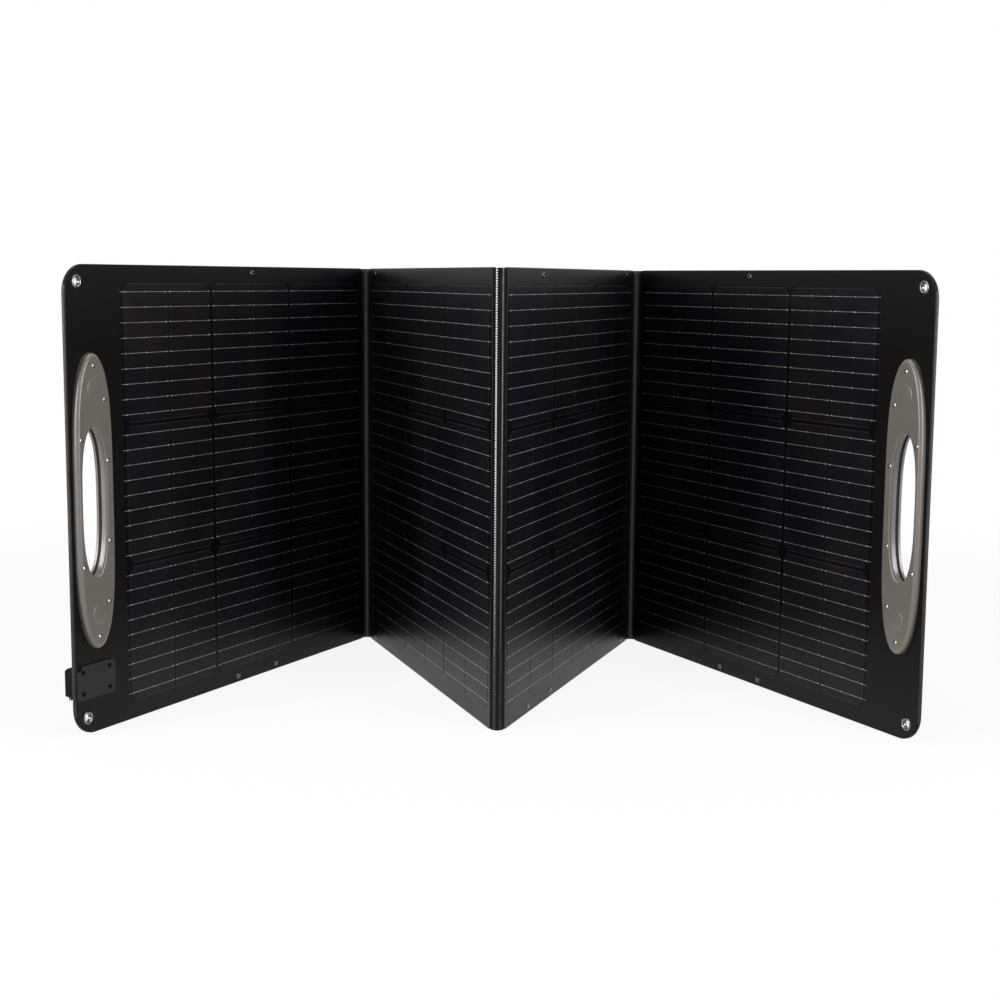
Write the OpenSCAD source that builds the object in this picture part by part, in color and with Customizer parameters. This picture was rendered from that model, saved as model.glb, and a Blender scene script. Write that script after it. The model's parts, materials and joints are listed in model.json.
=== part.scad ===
// Folding solar panel that opens as a zigzag of four stiff panels.
// Two outer panels carry the handles, two inner panels lie between them.
// The fold axes stand upright, and every panel stands on its lower edge.

/* [Panels] */
// Height of every panel
panel_h = 540; // [520:5:700]
// Width of an inner panel, from its valley fold axis to the ridge fold axis
inner_w = 538; // [532:1:700]
// How far an outer panel reaches past an inner one, which is the handle's room
handle_zone = 82; // [80:1:130]
// Radius of the corners on the two outer edges
outer_corner_r = 32; // [10:1:45]
// Radius of the corners along the folds
fold_corner_r = 6; // [2:1:10]

/* [Layers] */
// Thickness of the textured front sheet
front_t = 1.0; // [0.6:0.1:2]
// Thickness of the stiff board inside a panel
board_t = 2.4; // [1.6:0.1:4]
// Thickness of the fabric on the back
back_t = 1.2; // [0.6:0.1:2]
// Thickness of a solar cell
cell_t = 0.25; // [0.15:0.05:0.35]
// Thickness of the ribbons on the cells
ribbon_t = 0.15; // [0.1:0.05:0.3]

/* [Standing angles and folds] */
// Angle between an outer panel and the line across the front, in degrees
outer_angle = 62.3; // [50:0.1:75]
// Angle between an inner panel and the line across the front, in degrees
inner_angle = 69.8; // [55:0.1:78]
// Distance from a valley fold axis to the front faces that it closes
valley_gap = 1.0; // [0.9:0.1:4]
// Distance from the ridge fold axis to the back faces that it closes
ridge_gap = 2.5; // [2.4:0.1:6]
// Distance from a valley fold axis to the edges of its panels
valley_edge = 10.8; // [8:0.1:14]
// Distance from the ridge fold axis to the edges of its panels
ridge_edge = 5.2; // [4:0.1:8]
// Length of fold strip that is bonded inside each panel
strip_tab = 12; // [6:1:14]
// How far the fold strips stop short of the panels' top and bottom
strip_inset = 3; // [1:0.5:8]

/* [Cells] */
// Side of a full solar cell
cell = 163; // [120:1:166]
// Gap between neighbouring cells
cell_gap = 4; // [2:0.5:6]
// Gap between the two halves of a cut cell
half_gap = 1; // [0.5:0.1:2]
// Length of the slanted corner of a full cell
cell_corner = 9; // [4:1:16]
// Distance from the valley fold axis to the first cell
cell_start = 27; // [24:1:32]
// Number of ribbons on a row of cells
busbars = 9; // [3:1:12]
// Distance between neighbouring ribbons
busbar_pitch = 17.9; // [8:0.1:18]
// Width of a ribbon
ribbon_w = 0.9; // [0.5:0.1:2]
// How far a ribbon runs past the last cell
ribbon_overrun = 5; // [2:1:6]

/* [Handles] */
// Length of a handle
handle_l = 341; // [280:1:420]
// Width of a handle
handle_w = 60; // [56:1:64]
// Distance from the outer edge of the panel to the handle
handle_inset = 5.5; // [4:0.5:14]
// Length of the grip hole
grip_l = 172; // [130:1:190]
// Width of the grip hole
grip_w = 39; // [30:1:40]
// How far the grip hole sits from the handle's middle, towards the outer edge
grip_shift = 3; // [0:0.5:4]
// Wall of the sleeve that lines the cut in the panel
sleeve_wall = 2.4; // [1.6:0.1:3]
// Thickness of the handle's rear half
handle_rear_t = 4; // [3.6:0.1:8]
// Space left between the two handles when the panels are shut
handle_meet = 1.4; // [0.6:0.1:4]
// Diameter of the closing magnets
magnet_d = 22; // [14:1:24]
// Thickness of the closing magnets
magnet_t = 3; // [2:0.5:4]
// Distance from the handle's middle to each magnet
magnet_place = 130; // [115:1:138]
// Distance of the four pairs of screws from the handle's ends
screw_from_end = [14.5, 53.5, 97.5, 124];
// Distance of the sideways screws from the handle's outline
screw_from_side = [9.5, 6.5, 9]; // [5:0.5:12]

/* [Eyelets, rivets and screws] */
// Hole of an eyelet
eyelet_d = 9.6; // [6:0.2:12]
// Wall of an eyelet's barrel
eyelet_wall = 1.0; // [0.6:0.1:1.6]
// Diameter of an eyelet's flanges
eyelet_flange_d = 17; // [15.5:0.5:20]
// Thickness of an eyelet's flanges
eyelet_flange_t = 0.9; // [0.5:0.1:1.4]
// Distance from the outer edge of the panel to an eyelet's middle
eyelet_inset = 20; // [18:1:30]
// Distance from the top or bottom edge to an eyelet's middle
eyelet_drop = 19.5; // [16:0.5:26]
// Diameter of a rivet's heads
rivet_head_d = 8.4; // [6:0.2:10]
// Height of a rivet's heads
rivet_head_t = 0.7; // [0.5:0.1:0.8]
// Diameter of a rivet's shank
rivet_d = 4; // [3:0.2:5]
// Distance from the top or bottom edge to a rivet's middle
rivet_inset = 8.5; // [7:0.5:12]
// Distance from the valley fold axis to the inner panels' edge rivets
rivet_from_valley = 42; // [34:1:60]
// Diameter of a screw's shank
screw_d = 2.8; // [2:0.1:3.2]
// Diameter of a screw's head
screw_head_d = 5; // [4:0.1:5.4]
// Height of a screw's head
screw_head_t = 1.6; // [1:0.1:2]

/* [Legs] */
// Distance from the valley fold axis to the leg of an outer panel
leg_from_valley = 272; // [150:1:360]
// Distance from the ridge fold axis to the leg of the right inner panel
leg_from_ridge = 132; // [110:1:300]
// Width of a leg at its top
leg_top_w = 44; // [40:1:60]
// Width of a leg at its foot
leg_foot_w = 116; // [100:1:140]
// Thickness of a leg
leg_t = 2.4; // [1.6:0.1:2.6]
// Height of the rubber strip under a leg
foot_h = 2.5; // [1.5:0.5:4]
// Height of the rubber strip above the floor
foot_clear = 1.5; // [1:0.5:4]
// Diameter of the rod that a leg turns on
rod_d = 2; // [1.6:0.1:2.4]
// Distance from a leg's rivet down to its rod
rod_drop = 18; // [12:1:40]
// Width of the webbing loop that holds the rod
loop_w = 30; // [20:1:32]
// Thickness of the webbing
webbing_t = 0.9; // [0.6:0.1:1.1]
// Distance between the two snap studs under a leg
stud_spacing = 84; // [60:1:90]
// Diameter of a snap stud
stud_d = 5; // [4.4:0.2:6]
// Height of a snap stud
stud_h = 2.8; // [2:0.1:3.2]

/* [Junction box] */
// Width of the plate on the front
box_w = 64; // [62:1:70]
// Height of the plate on the front
box_h = 40; // [40:1:50]
// Distance from the outer edge of the panel to the plate
box_inset = 2; // [1:0.5:12]
// Distance from the floor to the plate
box_floor = 42; // [38:1:48]
// How far the housing stays inside the plate's outline
housing_inset = 3; // [2:0.5:4]
// Depth of the housing behind the panel
box_depth = 14.5; // [14:0.5:30]
// Wall of the housing
box_wall = 2; // [1.2:0.1:2.4]
// Depth and height of the slanted edge on the housing's upper rear
housing_slant = [3, 3.5];
// Thickness of the plate on the front
plate_t = 2; // [1.2:0.1:3]
// Thickness of the foam gasket
gasket_t = 1; // [0.6:0.1:2]
// Distance between the box screws, across
box_screw_w = 44.5; // [42:0.5:46]
// Distance between the box screws, upwards
box_screw_h = 25.5; // [24:0.5:26]
// Width, height and thickness of the circuit board
circuit_size = [34, 20, 1.6];
// Height of the posts under the circuit board
circuit_post_h = 3; // [2:0.5:5]
// Outside diameter of the output socket
socket_d = 10; // [8:0.5:11]
// Diameter of the output socket's mouth
socket_mouth_d = 7.9; // [6:0.1:8]
// Length of the output socket
socket_l = 11; // [8:0.5:12]
// Width of the cover below the socket
cover_w = 40; // [30:1:46]
// Thickness of the cover
cover_t = 2; // [1.6:0.1:3]
// Space between the housing and the cover below it
cover_gap = 1.2; // [0.6:0.1:2]
// Diameter of the cover's hinge knuckle
cover_knuckle_d = 4; // [3.4:0.1:5]
// Diameter of the cover's hinge pin
cover_pin_d = 1.6; // [1.2:0.1:2]

/* [Clearances] */
// Space around a pin that is pressed or glued in
press_clear = 0.02; // [0.01:0.01:0.05]
// Space around a pin that something turns on
turn_clear = 0.06; // [0.03:0.01:0.1]
// Space around a screw, rivet or barrel in the hole that it passes
pass_clear = 0.1; // [0.05:0.05:0.3]
// Space between pieces that move past each other
move_clear = 0.4; // [0.3:0.1:1]

/* [Hidden] */
$fn = 48;

// Depths along a panel's front normal, counted from its valley fold axis
outer_w = inner_w + handle_zone;
panel_t = front_t + board_t + back_t;
front_n = -valley_gap;
board_n = front_n - front_t;
fabric_n = board_n - board_t;
back_n = fabric_n - back_t;
ridge_n = back_n - ridge_gap;
strip_n = board_n - board_t / 2;
strip_t = board_t - 2 * press_clear;
overcut = 1;

// Fold angles at rest, between the faces that each fold closes
valley_angle = 180 - outer_angle - inner_angle;
ridge_angle = 180 - 2 * inner_angle;

// Valley fold axis of the left half, seen from the ridge fold axis
valley_x = -inner_w * cos(inner_angle) + ridge_n * sin(inner_angle);
valley_y = inner_w * sin(inner_angle) + ridge_n * cos(inner_angle);

// Sizes of the cell block
cell_count = 3;
cell_pitch = cell + cell_gap;
block = cell_count * cell_pitch - cell_gap;
block_z = (panel_h - block) / 2;

// Handle sizes
shut_space = 4 * valley_gap + 2 * panel_t + 2 * ridge_gap;
handle_raise = (shut_space - handle_meet) / 2;
handle_u = outer_w - handle_inset - handle_w / 2;
handle_z = panel_h / 2;
grip_u = handle_u + grip_shift;
handle_step = 3;
rear_step = 1.5;
lip_w = 3;
lip_depth = 2;
handle_power = 4;
grip_power = 3;
magnet_room = 0.2;
magnet_mark_d = magnet_d + 3;
magnet_mark_t = 0.6;
head_sink = 0.4;
pilot_depth = 2.8;

// Leg sizes
rod_z = panel_h - rivet_inset - rod_drop;
loop_r = rod_d / 2 + pass_clear + webbing_t;
rod_n = back_n - loop_r - move_clear;
tab_top = panel_h - 2;
leg_shoulder = rod_z - loop_r - 1.5 * move_clear;
leg_u_middle = inner_w - leg_from_ridge;

// Junction box sizes
box_u = outer_w - box_inset - box_w / 2;
box_z = box_floor + box_h / 2;
box_corner = 5;
housing_floor = box_floor + housing_inset;
housing_top = box_floor + box_h - housing_inset;
housing_n = back_n - gasket_t;
housing_back_n = housing_n - box_depth;
socket_n = housing_n - box_depth / 2;
circuit_n = housing_back_n + box_wall + circuit_post_h;
circuit_z = box_z + 4.5;
post_d = 6.4;
cover_z = housing_floor - cover_gap;
cover_axis_z = cover_z - cover_knuckle_d / 2;
cover_axis_n = housing_back_n + cover_knuckle_d / 2;
cover_front_n = housing_n - 1;
ear_w = 3;

// Middle of the whole object on the floor, seen from the ridge fold axis
function world_x(u, n) = valley_x - u * cos(outer_angle) + n * sin(outer_angle);
function world_y(u, n) = valley_y - u * sin(outer_angle) - n * cos(outer_angle);
valley_bend_n = valley_edge * tan(valley_angle / 2);
valley_bend_r = valley_bend_n - strip_n + strip_t / 2;
left_x = world_x(box_u + box_w / 2 - housing_inset, housing_back_n);
right_x = -world_x(handle_u + handle_w / 2 - rear_step, back_n - handle_rear_t);
front_y = world_y(outer_w, front_n);
rear_y = world_y(valley_edge, valley_bend_n) + valley_bend_r;
center = [(left_x + right_x) / 2, (front_y + rear_y) / 2];

// Places that a panel's layers are drilled for
leg_stud_u = stud_spacing / 2;
function leg_rivet_spots(u) = [[u, panel_h - rivet_inset]];
function leg_stud_spots(u) = [[u - leg_stud_u, rivet_inset], [u + leg_stud_u, rivet_inset]];
valley_rivet_spots = [[rivet_from_valley, rivet_inset], [rivet_from_valley, panel_h - rivet_inset]];
eyelet_u = outer_w - eyelet_inset;
eyelet_spots = [[eyelet_u, eyelet_drop], [eyelet_u, panel_h - eyelet_drop]];
box_screw_spots = [
    for (i = [-1, 1], j = [-1, 1]) [box_u + i * box_screw_w / 2, box_z + j * box_screw_h / 2]
];

// Half width of the handle's outline at a height from its middle
function handle_half(z) = handle_w / 2 * sqrt(1 - pow(z / (handle_l / 2), handle_power));

// Screw places on a handle: the tip, the inner shoulder, the outer side and the inner side
screw_side = [0, -1, 1, -1];
function screw_z(i) = handle_l / 2 - screw_from_end[i];
function screw_u(i) = i == 0 ? 0 : screw_side[i] * (handle_half(screw_z(i)) - screw_from_side[i - 1]);
handle_screw_spots = [
    for (i = [0:3], j = [-1, 1]) [handle_u + screw_u(i), handle_z + j * screw_z(i)]
];

// A step of the given length in the given direction
function along(angle, length) = [length * cos(angle), length * sin(angle)];

// Quarter turn of a rounded corner
corner_steps = 8;
function corner(u, z, r, start) = [
    for (i = [0:corner_steps]) [u, z] + along(start + 90 * i / corner_steps, r)
];

// Outline with one radius on the fold side and another on the far side
function sheet_outline(u0, u1, z0, z1, r0, r1) = concat(
    corner(u1 - r1, z1 - r1, r1, 0),
    corner(u0 + r0, z1 - r0, r0, 90),
    corner(u0 + r0, z0 + r0, r0, 180),
    corner(u1 - r1, z0 + r1, r1, 270)
);
outer_outline = sheet_outline(valley_edge, outer_w, 0, panel_h, fold_corner_r, outer_corner_r);
inner_outline = sheet_outline(valley_edge, inner_w - ridge_edge, 0, panel_h, fold_corner_r, fold_corner_r);
board_corner = 1;
board_start = valley_edge + strip_tab;
cell_board_end = inner_w - ridge_edge;
board_cut_z = grip_l / 3;
cell_board_outline = sheet_outline(board_start, cell_board_end, 0, panel_h, board_corner, board_corner);
handle_board_outline = sheet_outline(
    cell_board_end + press_clear, outer_w, 0, panel_h, board_corner, outer_corner_r
);
inner_board_outline = sheet_outline(
    board_start, cell_board_end - strip_tab, 0, panel_h, board_corner, board_corner
);

// Long oval whose ends are blunter the higher the power
oval_steps = 72;
function end_shape(s, power) = sign(s) * pow(abs(s), 2 / power);
function oval(u, w, l, power) = [
    for (i = [0:oval_steps - 1])
        let(turn = 360 * i / oval_steps)
            [u + w / 2 * cos(turn), handle_z + l / 2 * end_shape(sin(turn), power)]
];
function grip_outline(grow) = oval(grip_u, grip_w + 2 * grow, grip_l + 2 * grow, grip_power);
function handle_outline(shrink) = oval(handle_u, handle_w - 2 * shrink, handle_l - 2 * shrink, handle_power);

// A rectangle with small rounded corners around the junction box's middle
function box_outline(shrink) = sheet_outline(
    box_u - box_w / 2 + shrink, box_u + box_w / 2 - shrink,
    box_floor + shrink, box_floor + box_h - shrink,
    max(box_corner - shrink, 0.5), max(box_corner - shrink, 0.5)
);

// Moves a panel's own axes (along the panel, front normal, up) to its place
module on_outer(right = false) {
    translate([-center[0], -center[1], 0])
        mirror([right ? 1 : 0, 0, 0])
            translate([valley_x, valley_y, 0])
                rotate([0, 0, 180 + outer_angle])
                    children();
}

module on_inner(right = false) {
    translate([-center[0], -center[1], 0])
        mirror([right ? 1 : 0, 0, 0])
            translate([valley_x, valley_y, 0])
                rotate([0, 0, 180 - inner_angle])
                    mirror([1, 0, 0])
                        children();
}

// A flat layer between two depths
module layer(outline, n0, n1) {
    translate([0, n1, 0])
        rotate([90, 0, 0])
            linear_extrude(n1 - n0)
                polygon(outline);
}

// A round bar along the front normal, at each of the given places
module bars(spots, d, n0, n1) {
    for (spot = spots)
        translate([spot[0], n1, spot[1]])
            rotate([90, 0, 0])
                cylinder(d = d, h = n1 - n0);
}

// A round bar along the panel
module cross_bar(u0, u1, n, z, d) {
    translate([u0, n, z])
        rotate([0, 90, 0])
            cylinder(d = d, h = u1 - u0);
}

// One layer of an outer panel, with the holes for all that passes it
module outer_layer(outline, n0, n1, with_box) {
    difference() {
        layer(outline, n0, n1);
        bars(eyelet_spots, eyelet_d + 2 * eyelet_wall + 2 * pass_clear, n0 - overcut, n1 + overcut);
        bars(leg_rivet_spots(leg_from_valley), rivet_d + 2 * pass_clear, n0 - overcut, n1 + overcut);
        bars(leg_stud_spots(leg_from_valley), rivet_d + 2 * pass_clear, n0 - overcut, n1 + overcut);
        bars(handle_screw_spots, screw_d + 2 * pass_clear, n0 - overcut, n1 + overcut);
        layer(grip_outline(sleeve_wall + pass_clear), n0 - overcut, n1 + overcut);
        if (with_box)
            bars(box_screw_spots, screw_d + 2 * pass_clear, n0 - overcut, n1 + overcut);
    }
}

// One layer of an inner panel
module inner_layer(outline, n0, n1, with_leg) {
    difference() {
        layer(outline, n0, n1);
        bars(valley_rivet_spots, rivet_d + 2 * pass_clear, n0 - overcut, n1 + overcut);
        if (with_leg) {
            bars(leg_rivet_spots(leg_u_middle), rivet_d + 2 * pass_clear, n0 - overcut, n1 + overcut);
            bars(leg_stud_spots(leg_u_middle), rivet_d + 2 * pass_clear, n0 - overcut, n1 + overcut);
        }
    }
}

module outer_front_sheet(with_box) {
    color([0.03, 0.03, 0.035]) outer_layer(outer_outline, board_n, front_n, with_box);
}

// Two fine cuts across the board beside the grip hole
module board_cuts() {
    for (side = [-1, 1])
        translate([cell_board_end, fabric_n - overcut, handle_z + side * board_cut_z])
            cube([outer_w, board_t + 2 * overcut, press_clear]);
}

// The board of an outer panel comes in five parts, one under the cells and four round the grip hole
module outer_board(with_box) {
    color([0.16, 0.18, 0.14]) {
        outer_layer(cell_board_outline, fabric_n, board_n, with_box);
        difference() {
            outer_layer(handle_board_outline, fabric_n, board_n, with_box);
            board_cuts();
        }
    }
}

module outer_back_fabric(with_box) {
    color([0.07, 0.07, 0.075]) outer_layer(outer_outline, back_n, fabric_n, with_box);
}

module inner_front_sheet(with_leg) {
    color([0.03, 0.03, 0.035]) inner_layer(inner_outline, board_n, front_n, with_leg);
}

module inner_board(with_leg) {
    color([0.16, 0.18, 0.14]) inner_layer(inner_board_outline, fabric_n, board_n, with_leg);
}

module inner_back_fabric(with_leg) {
    color([0.07, 0.07, 0.075]) inner_layer(inner_outline, back_n, fabric_n, with_leg);
}

// Left half of a cut cell, with slanted corners on the side away from the cut
function half_cell(u, z) = [
    [u + (cell - half_gap) / 2, z],
    [u + (cell - half_gap) / 2, z + cell],
    [u + cell_corner, z + cell],
    [u, z + cell - cell_corner],
    [u, z + cell_corner],
    [u + cell_corner, z]
];

module cells() {
    color([0.02, 0.025, 0.05])
        for (row = [0:cell_count - 1], col = [0:cell_count - 1]) {
            u = cell_start + col * cell_pitch;
            z = block_z + row * cell_pitch;
            layer(half_cell(u, z), front_n, front_n + cell_t);
            translate([2 * u + cell, 0, 0])
                mirror([1, 0, 0])
                    layer(half_cell(u, z), front_n, front_n + cell_t);
        }
}

module ribbons() {
    first_u = cell_start - ribbon_overrun;
    ribbon_n = front_n + cell_t;
    length = block + 2 * ribbon_overrun;
    first_z = block_z + cell / 2 - (busbars - 1) / 2 * busbar_pitch - ribbon_w / 2;
    color([0.62, 0.62, 0.62])
        for (row = [0:cell_count - 1], bar = [0:busbars - 1])
            translate([first_u, ribbon_n, first_z + row * cell_pitch + bar * busbar_pitch])
                cube([length, ribbon_t, ribbon_w]);
}

// Cross-section of a fold strip around its axis, opening along the first axis:
// a round bend between two straight tabs that lie in the panels' middle layer
bend_steps = 20;
function bend(middle, r, angle) = [
    for (i = [0:bend_steps]) middle + along(90 + angle / 2 + (180 - angle) * i / bend_steps, r)
];
function bend_with_tabs(points, angle) = concat(
    [points[0] + along(angle / 2, strip_tab - press_clear)],
    points,
    [points[bend_steps] + along(-angle / 2, strip_tab - press_clear)]
);
function reversed(points) = [for (i = [len(points) - 1:-1:0]) points[i]];

module fold_strip(angle, edge, depth) {
    middle = [edge / cos(angle / 2), 0];
    r = depth + edge * tan(angle / 2);
    outside = bend_with_tabs(bend(middle, r + strip_t / 2, angle), angle);
    inside = bend_with_tabs(bend(middle, r - strip_t / 2, angle), angle);
    color([0.12, 0.12, 0.125])
        translate([0, 0, strip_inset])
            linear_extrude(panel_h - 2 * strip_inset)
                polygon(concat(outside, reversed(inside)));
}

module valley_strip(right) {
    translate([-center[0], -center[1], 0])
        mirror([right ? 1 : 0, 0, 0])
            translate([valley_x, valley_y, 0])
                rotate([0, 0, 270 + (outer_angle - inner_angle) / 2])
                    fold_strip(valley_angle, valley_edge, -strip_n);
}

module ridge_strip() {
    translate([-center[0], -center[1], 0])
        rotate([0, 0, 90])
            fold_strip(ridge_angle, ridge_edge, strip_n - ridge_n);
}

// The handle's front half: a stepped oval with the sleeve that lines the grip hole
module handle_front() {
    top_n = front_n + handle_raise;
    color([0.42, 0.4, 0.37])
        difference() {
            union() {
                layer(handle_outline(0), front_n, top_n - handle_step);
                layer(handle_outline(handle_step), front_n, top_n);
                layer(grip_outline(sleeve_wall), back_n, top_n - handle_step);
            }
            layer(grip_outline(0), back_n - overcut, top_n + overcut);
            layer(grip_outline(lip_w), top_n - lip_depth, top_n + overcut);
            bars(
                magnet_spots(), magnet_d + 2 * magnet_room,
                front_n - overcut, front_n + magnet_t + magnet_room
            );
            bars(magnet_spots(), magnet_mark_d, top_n - magnet_mark_t, top_n + overcut);
            bars(handle_screw_spots, screw_d + 2 * pass_clear, front_n - overcut, top_n + overcut);
            bars(
                handle_screw_spots, screw_head_d + 4 * pass_clear,
                top_n - head_sink - screw_head_t, top_n + overcut
            );
        }
}

module handle_rear() {
    rear_n = back_n - handle_rear_t;
    color([0.42, 0.4, 0.37])
        difference() {
            union() {
                layer(handle_outline(0), rear_n + rear_step, back_n);
                layer(handle_outline(rear_step), rear_n, back_n);
            }
            layer(grip_outline(0), rear_n - overcut, back_n + overcut);
            bars(handle_screw_spots, screw_d + 2 * press_clear, back_n - pilot_depth, back_n + overcut);
        }
}

function magnet_spots() = [for (j = [-1, 1]) [handle_u, handle_z + j * magnet_place]];

module handle_magnets() {
    color([0.6, 0.6, 0.62]) bars(magnet_spots(), magnet_d, front_n, front_n + magnet_t);
}

module handle_screws() {
    head_n = front_n + handle_raise - head_sink - screw_head_t;
    color([0.7, 0.7, 0.7]) {
        bars(handle_screw_spots, screw_head_d, head_n, head_n + screw_head_t);
        bars(handle_screw_spots, screw_d, back_n - pilot_depth, head_n);
    }
}

module eyelets() {
    color([0.75, 0.74, 0.72])
        difference() {
            union() {
                bars(eyelet_spots, eyelet_flange_d, front_n, front_n + eyelet_flange_t);
                bars(eyelet_spots, eyelet_d + 2 * eyelet_wall, back_n, front_n);
                bars(eyelet_spots, eyelet_flange_d, back_n - eyelet_flange_t, back_n);
            }
            bars(
                eyelet_spots, eyelet_d,
                back_n - eyelet_flange_t - overcut, front_n + eyelet_flange_t + overcut
            );
        }
}

// Rivets whose rear heads lie at the given depth
module rivets(spots, rear_n) {
    bars(spots, rivet_head_d, front_n, front_n + rivet_head_t);
    bars(spots, rivet_d, rear_n, front_n);
    bars(spots, rivet_head_d, rear_n - rivet_head_t, rear_n);
}

// Rivets that carry a snap stud for the leg on the back
module stud_rivets(spots) {
    rivets(spots, back_n);
    bars(spots, stud_d, back_n - stud_h, back_n - rivet_head_t);
}

module leg_rivets(u) {
    rivets(leg_rivet_spots(u), back_n - webbing_t);
    stud_rivets(leg_stud_spots(u));
}

module outer_rivets() {
    color([0.75, 0.74, 0.72]) leg_rivets(leg_from_valley);
}

module inner_rivets(with_leg) {
    color([0.75, 0.74, 0.72]) {
        rivets(valley_rivet_spots, back_n);
        if (with_leg)
            leg_rivets(leg_u_middle);
    }
}

// Webbing that is riveted to the panel's top and wraps the leg's rod
module leg_loop(u) {
    color([0.09, 0.09, 0.1])
        difference() {
            union() {
                translate([u - loop_w / 2, back_n - webbing_t, rod_z])
                    cube([loop_w, webbing_t, tab_top - rod_z]);
                cross_bar(u - loop_w / 2, u + loop_w / 2, rod_n, rod_z, 2 * loop_r);
            }
            cross_bar(
                u - loop_w / 2 - overcut, u + loop_w / 2 + overcut, rod_n, rod_z, rod_d + 2 * turn_clear
            );
            bars(
                leg_rivet_spots(u), rivet_d + 2 * pass_clear,
                back_n - webbing_t - overcut, back_n + overcut
            );
        }
}

module leg_rod(u) {
    color([0.7, 0.7, 0.7]) cross_bar(u - leg_top_w / 2 + 1, u + leg_top_w / 2 - 1, rod_n, rod_z, rod_d);
}

// Tapered leg with two knuckles at its top and two snap holes at its foot
module leg_board(u) {
    knuckle = loop_w / 2 + move_clear;
    foot_z = foot_clear + foot_h;
    color([0.09, 0.09, 0.1])
        difference() {
            union() {
                layer(
                    [
                        [u - leg_foot_w / 2, foot_z], [u + leg_foot_w / 2, foot_z],
                        [u + leg_top_w / 2, leg_shoulder], [u - leg_top_w / 2, leg_shoulder]
                    ],
                    rod_n - leg_t / 2, rod_n + leg_t / 2
                );
                for (side = [-1, 1]) {
                    u0 = u + min(side * knuckle, side * leg_top_w / 2);
                    u1 = u + max(side * knuckle, side * leg_top_w / 2);
                    cross_bar(u0, u1, rod_n, rod_z, 2 * loop_r);
                    translate([u0, rod_n - leg_t / 2, leg_shoulder - overcut])
                        cube([u1 - u0, leg_t, rod_z - leg_shoulder + overcut]);
                }
            }
            cross_bar(u - leg_top_w, u + leg_top_w, rod_n, rod_z, rod_d + 2 * press_clear);
            bars(
                leg_stud_spots(u), stud_d + 2 * move_clear,
                rod_n - leg_t / 2 - overcut, rod_n + leg_t / 2 + overcut
            );
        }
}

module leg_foot(u) {
    color([0.05, 0.05, 0.05])
        translate([u - leg_foot_w / 2, rod_n - leg_t / 2, foot_clear])
            cube([leg_foot_w, leg_t, foot_h]);
}

module junction_plate() {
    notch = [7, 5];
    color([0.2, 0.19, 0.19])
        difference() {
            layer(box_outline(0), front_n, front_n + plate_t);
            translate([box_u + box_w / 2 - notch[0], front_n - overcut, box_floor + box_h - notch[1]])
                cube([notch[0] + overcut, plate_t + 2 * overcut, notch[1] + overcut]);
            bars(box_screw_spots, screw_d + 2 * pass_clear, front_n - overcut, front_n + plate_t + overcut);
        }
}

// Screw posts and circuit board posts
module housing_inside() {
    bars(box_screw_spots, post_d, housing_back_n + box_wall / 2, housing_n);
    bars(
        [for (i = [-1, 1]) [box_u + i * circuit_size[0] / 4, circuit_z]],
        post_d / 2, housing_back_n + box_wall / 2, circuit_n
    );
}

// The two ears of the cover's hinge
module cover_ears() {
    for (side = [-1, 1]) {
        u = box_u + side * (cover_w / 2 + move_clear + ear_w / 2);
        cross_bar(u - ear_w / 2, u + ear_w / 2, cover_axis_n, cover_axis_z, cover_knuckle_d);
        translate([u - ear_w / 2, cover_axis_n - cover_knuckle_d / 2, cover_axis_z])
            cube([ear_w, cover_knuckle_d, housing_floor - cover_axis_z + box_wall / 2]);
    }
}

// What is cut from the housing's upper rear edge
module slant_cut() {
    low_z = housing_top - housing_slant[1];
    slant_n = housing_back_n + housing_slant[0];
    translate([box_u - box_w / 2, 0, 0])
        rotate([90, 0, 90])
            linear_extrude(box_w)
                polygon([
                    [housing_back_n, low_z], [slant_n, housing_top], [slant_n, housing_top + overcut],
                    [housing_back_n - overcut, housing_top + overcut], [housing_back_n - overcut, low_z]
                ]);
}

module junction_housing() {
    color([0.1, 0.1, 0.1])
        difference() {
            union() {
                difference() {
                    layer(box_outline(housing_inset), housing_back_n, housing_n);
                    layer(
                        box_outline(housing_inset + box_wall),
                        housing_back_n + box_wall, housing_n + overcut
                    );
                }
                housing_inside();
                cover_ears();
            }
            bars(box_screw_spots, screw_d + 2 * press_clear, housing_back_n + box_wall, housing_n + overcut);
            translate([box_u, socket_n, housing_floor - overcut])
                cylinder(d = socket_d + 2 * pass_clear, h = box_wall + 2 * overcut);
            cross_bar(
                box_u - box_w, box_u + box_w, cover_axis_n, cover_axis_z, cover_pin_d + 2 * press_clear
            );
            slant_cut();
        }
}

module junction_gasket() {
    color([0.06, 0.06, 0.06])
        difference() {
            layer(box_outline(housing_inset), housing_n, back_n);
            layer(box_outline(housing_inset + box_wall), housing_n - overcut, back_n + overcut);
        }
}

// Circuit board with its regulator block
module junction_circuit_board() {
    part = [12, 8, 3];
    color([0.05, 0.3, 0.12]) {
        translate([box_u - circuit_size[0] / 2, circuit_n, circuit_z - circuit_size[1] / 2])
            cube([circuit_size[0], circuit_size[2], circuit_size[1]]);
        translate([box_u - part[0] / 2, circuit_n + circuit_size[2], circuit_z - part[1] / 2])
            cube([part[0], part[2], part[1]]);
    }
}

module junction_screws() {
    head_n = front_n + plate_t;
    tip_n = housing_back_n + box_wall + 4;
    color([0.12, 0.12, 0.12]) {
        bars(box_screw_spots, screw_head_d, head_n, head_n + screw_head_t);
        bars(box_screw_spots, screw_d, tip_n, head_n);
    }
}

module output_socket() {
    mouth_depth = socket_l - 2;
    contact_d = 2;
    color([0.08, 0.08, 0.08])
        translate([box_u, socket_n, housing_floor]) {
            difference() {
                cylinder(d = socket_d, h = socket_l);
                translate([0, 0, -overcut]) cylinder(d = socket_mouth_d, h = mouth_depth + overcut);
            }
            translate([0, 0, overcut]) cylinder(d = contact_d, h = mouth_depth);
        }
}

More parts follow.
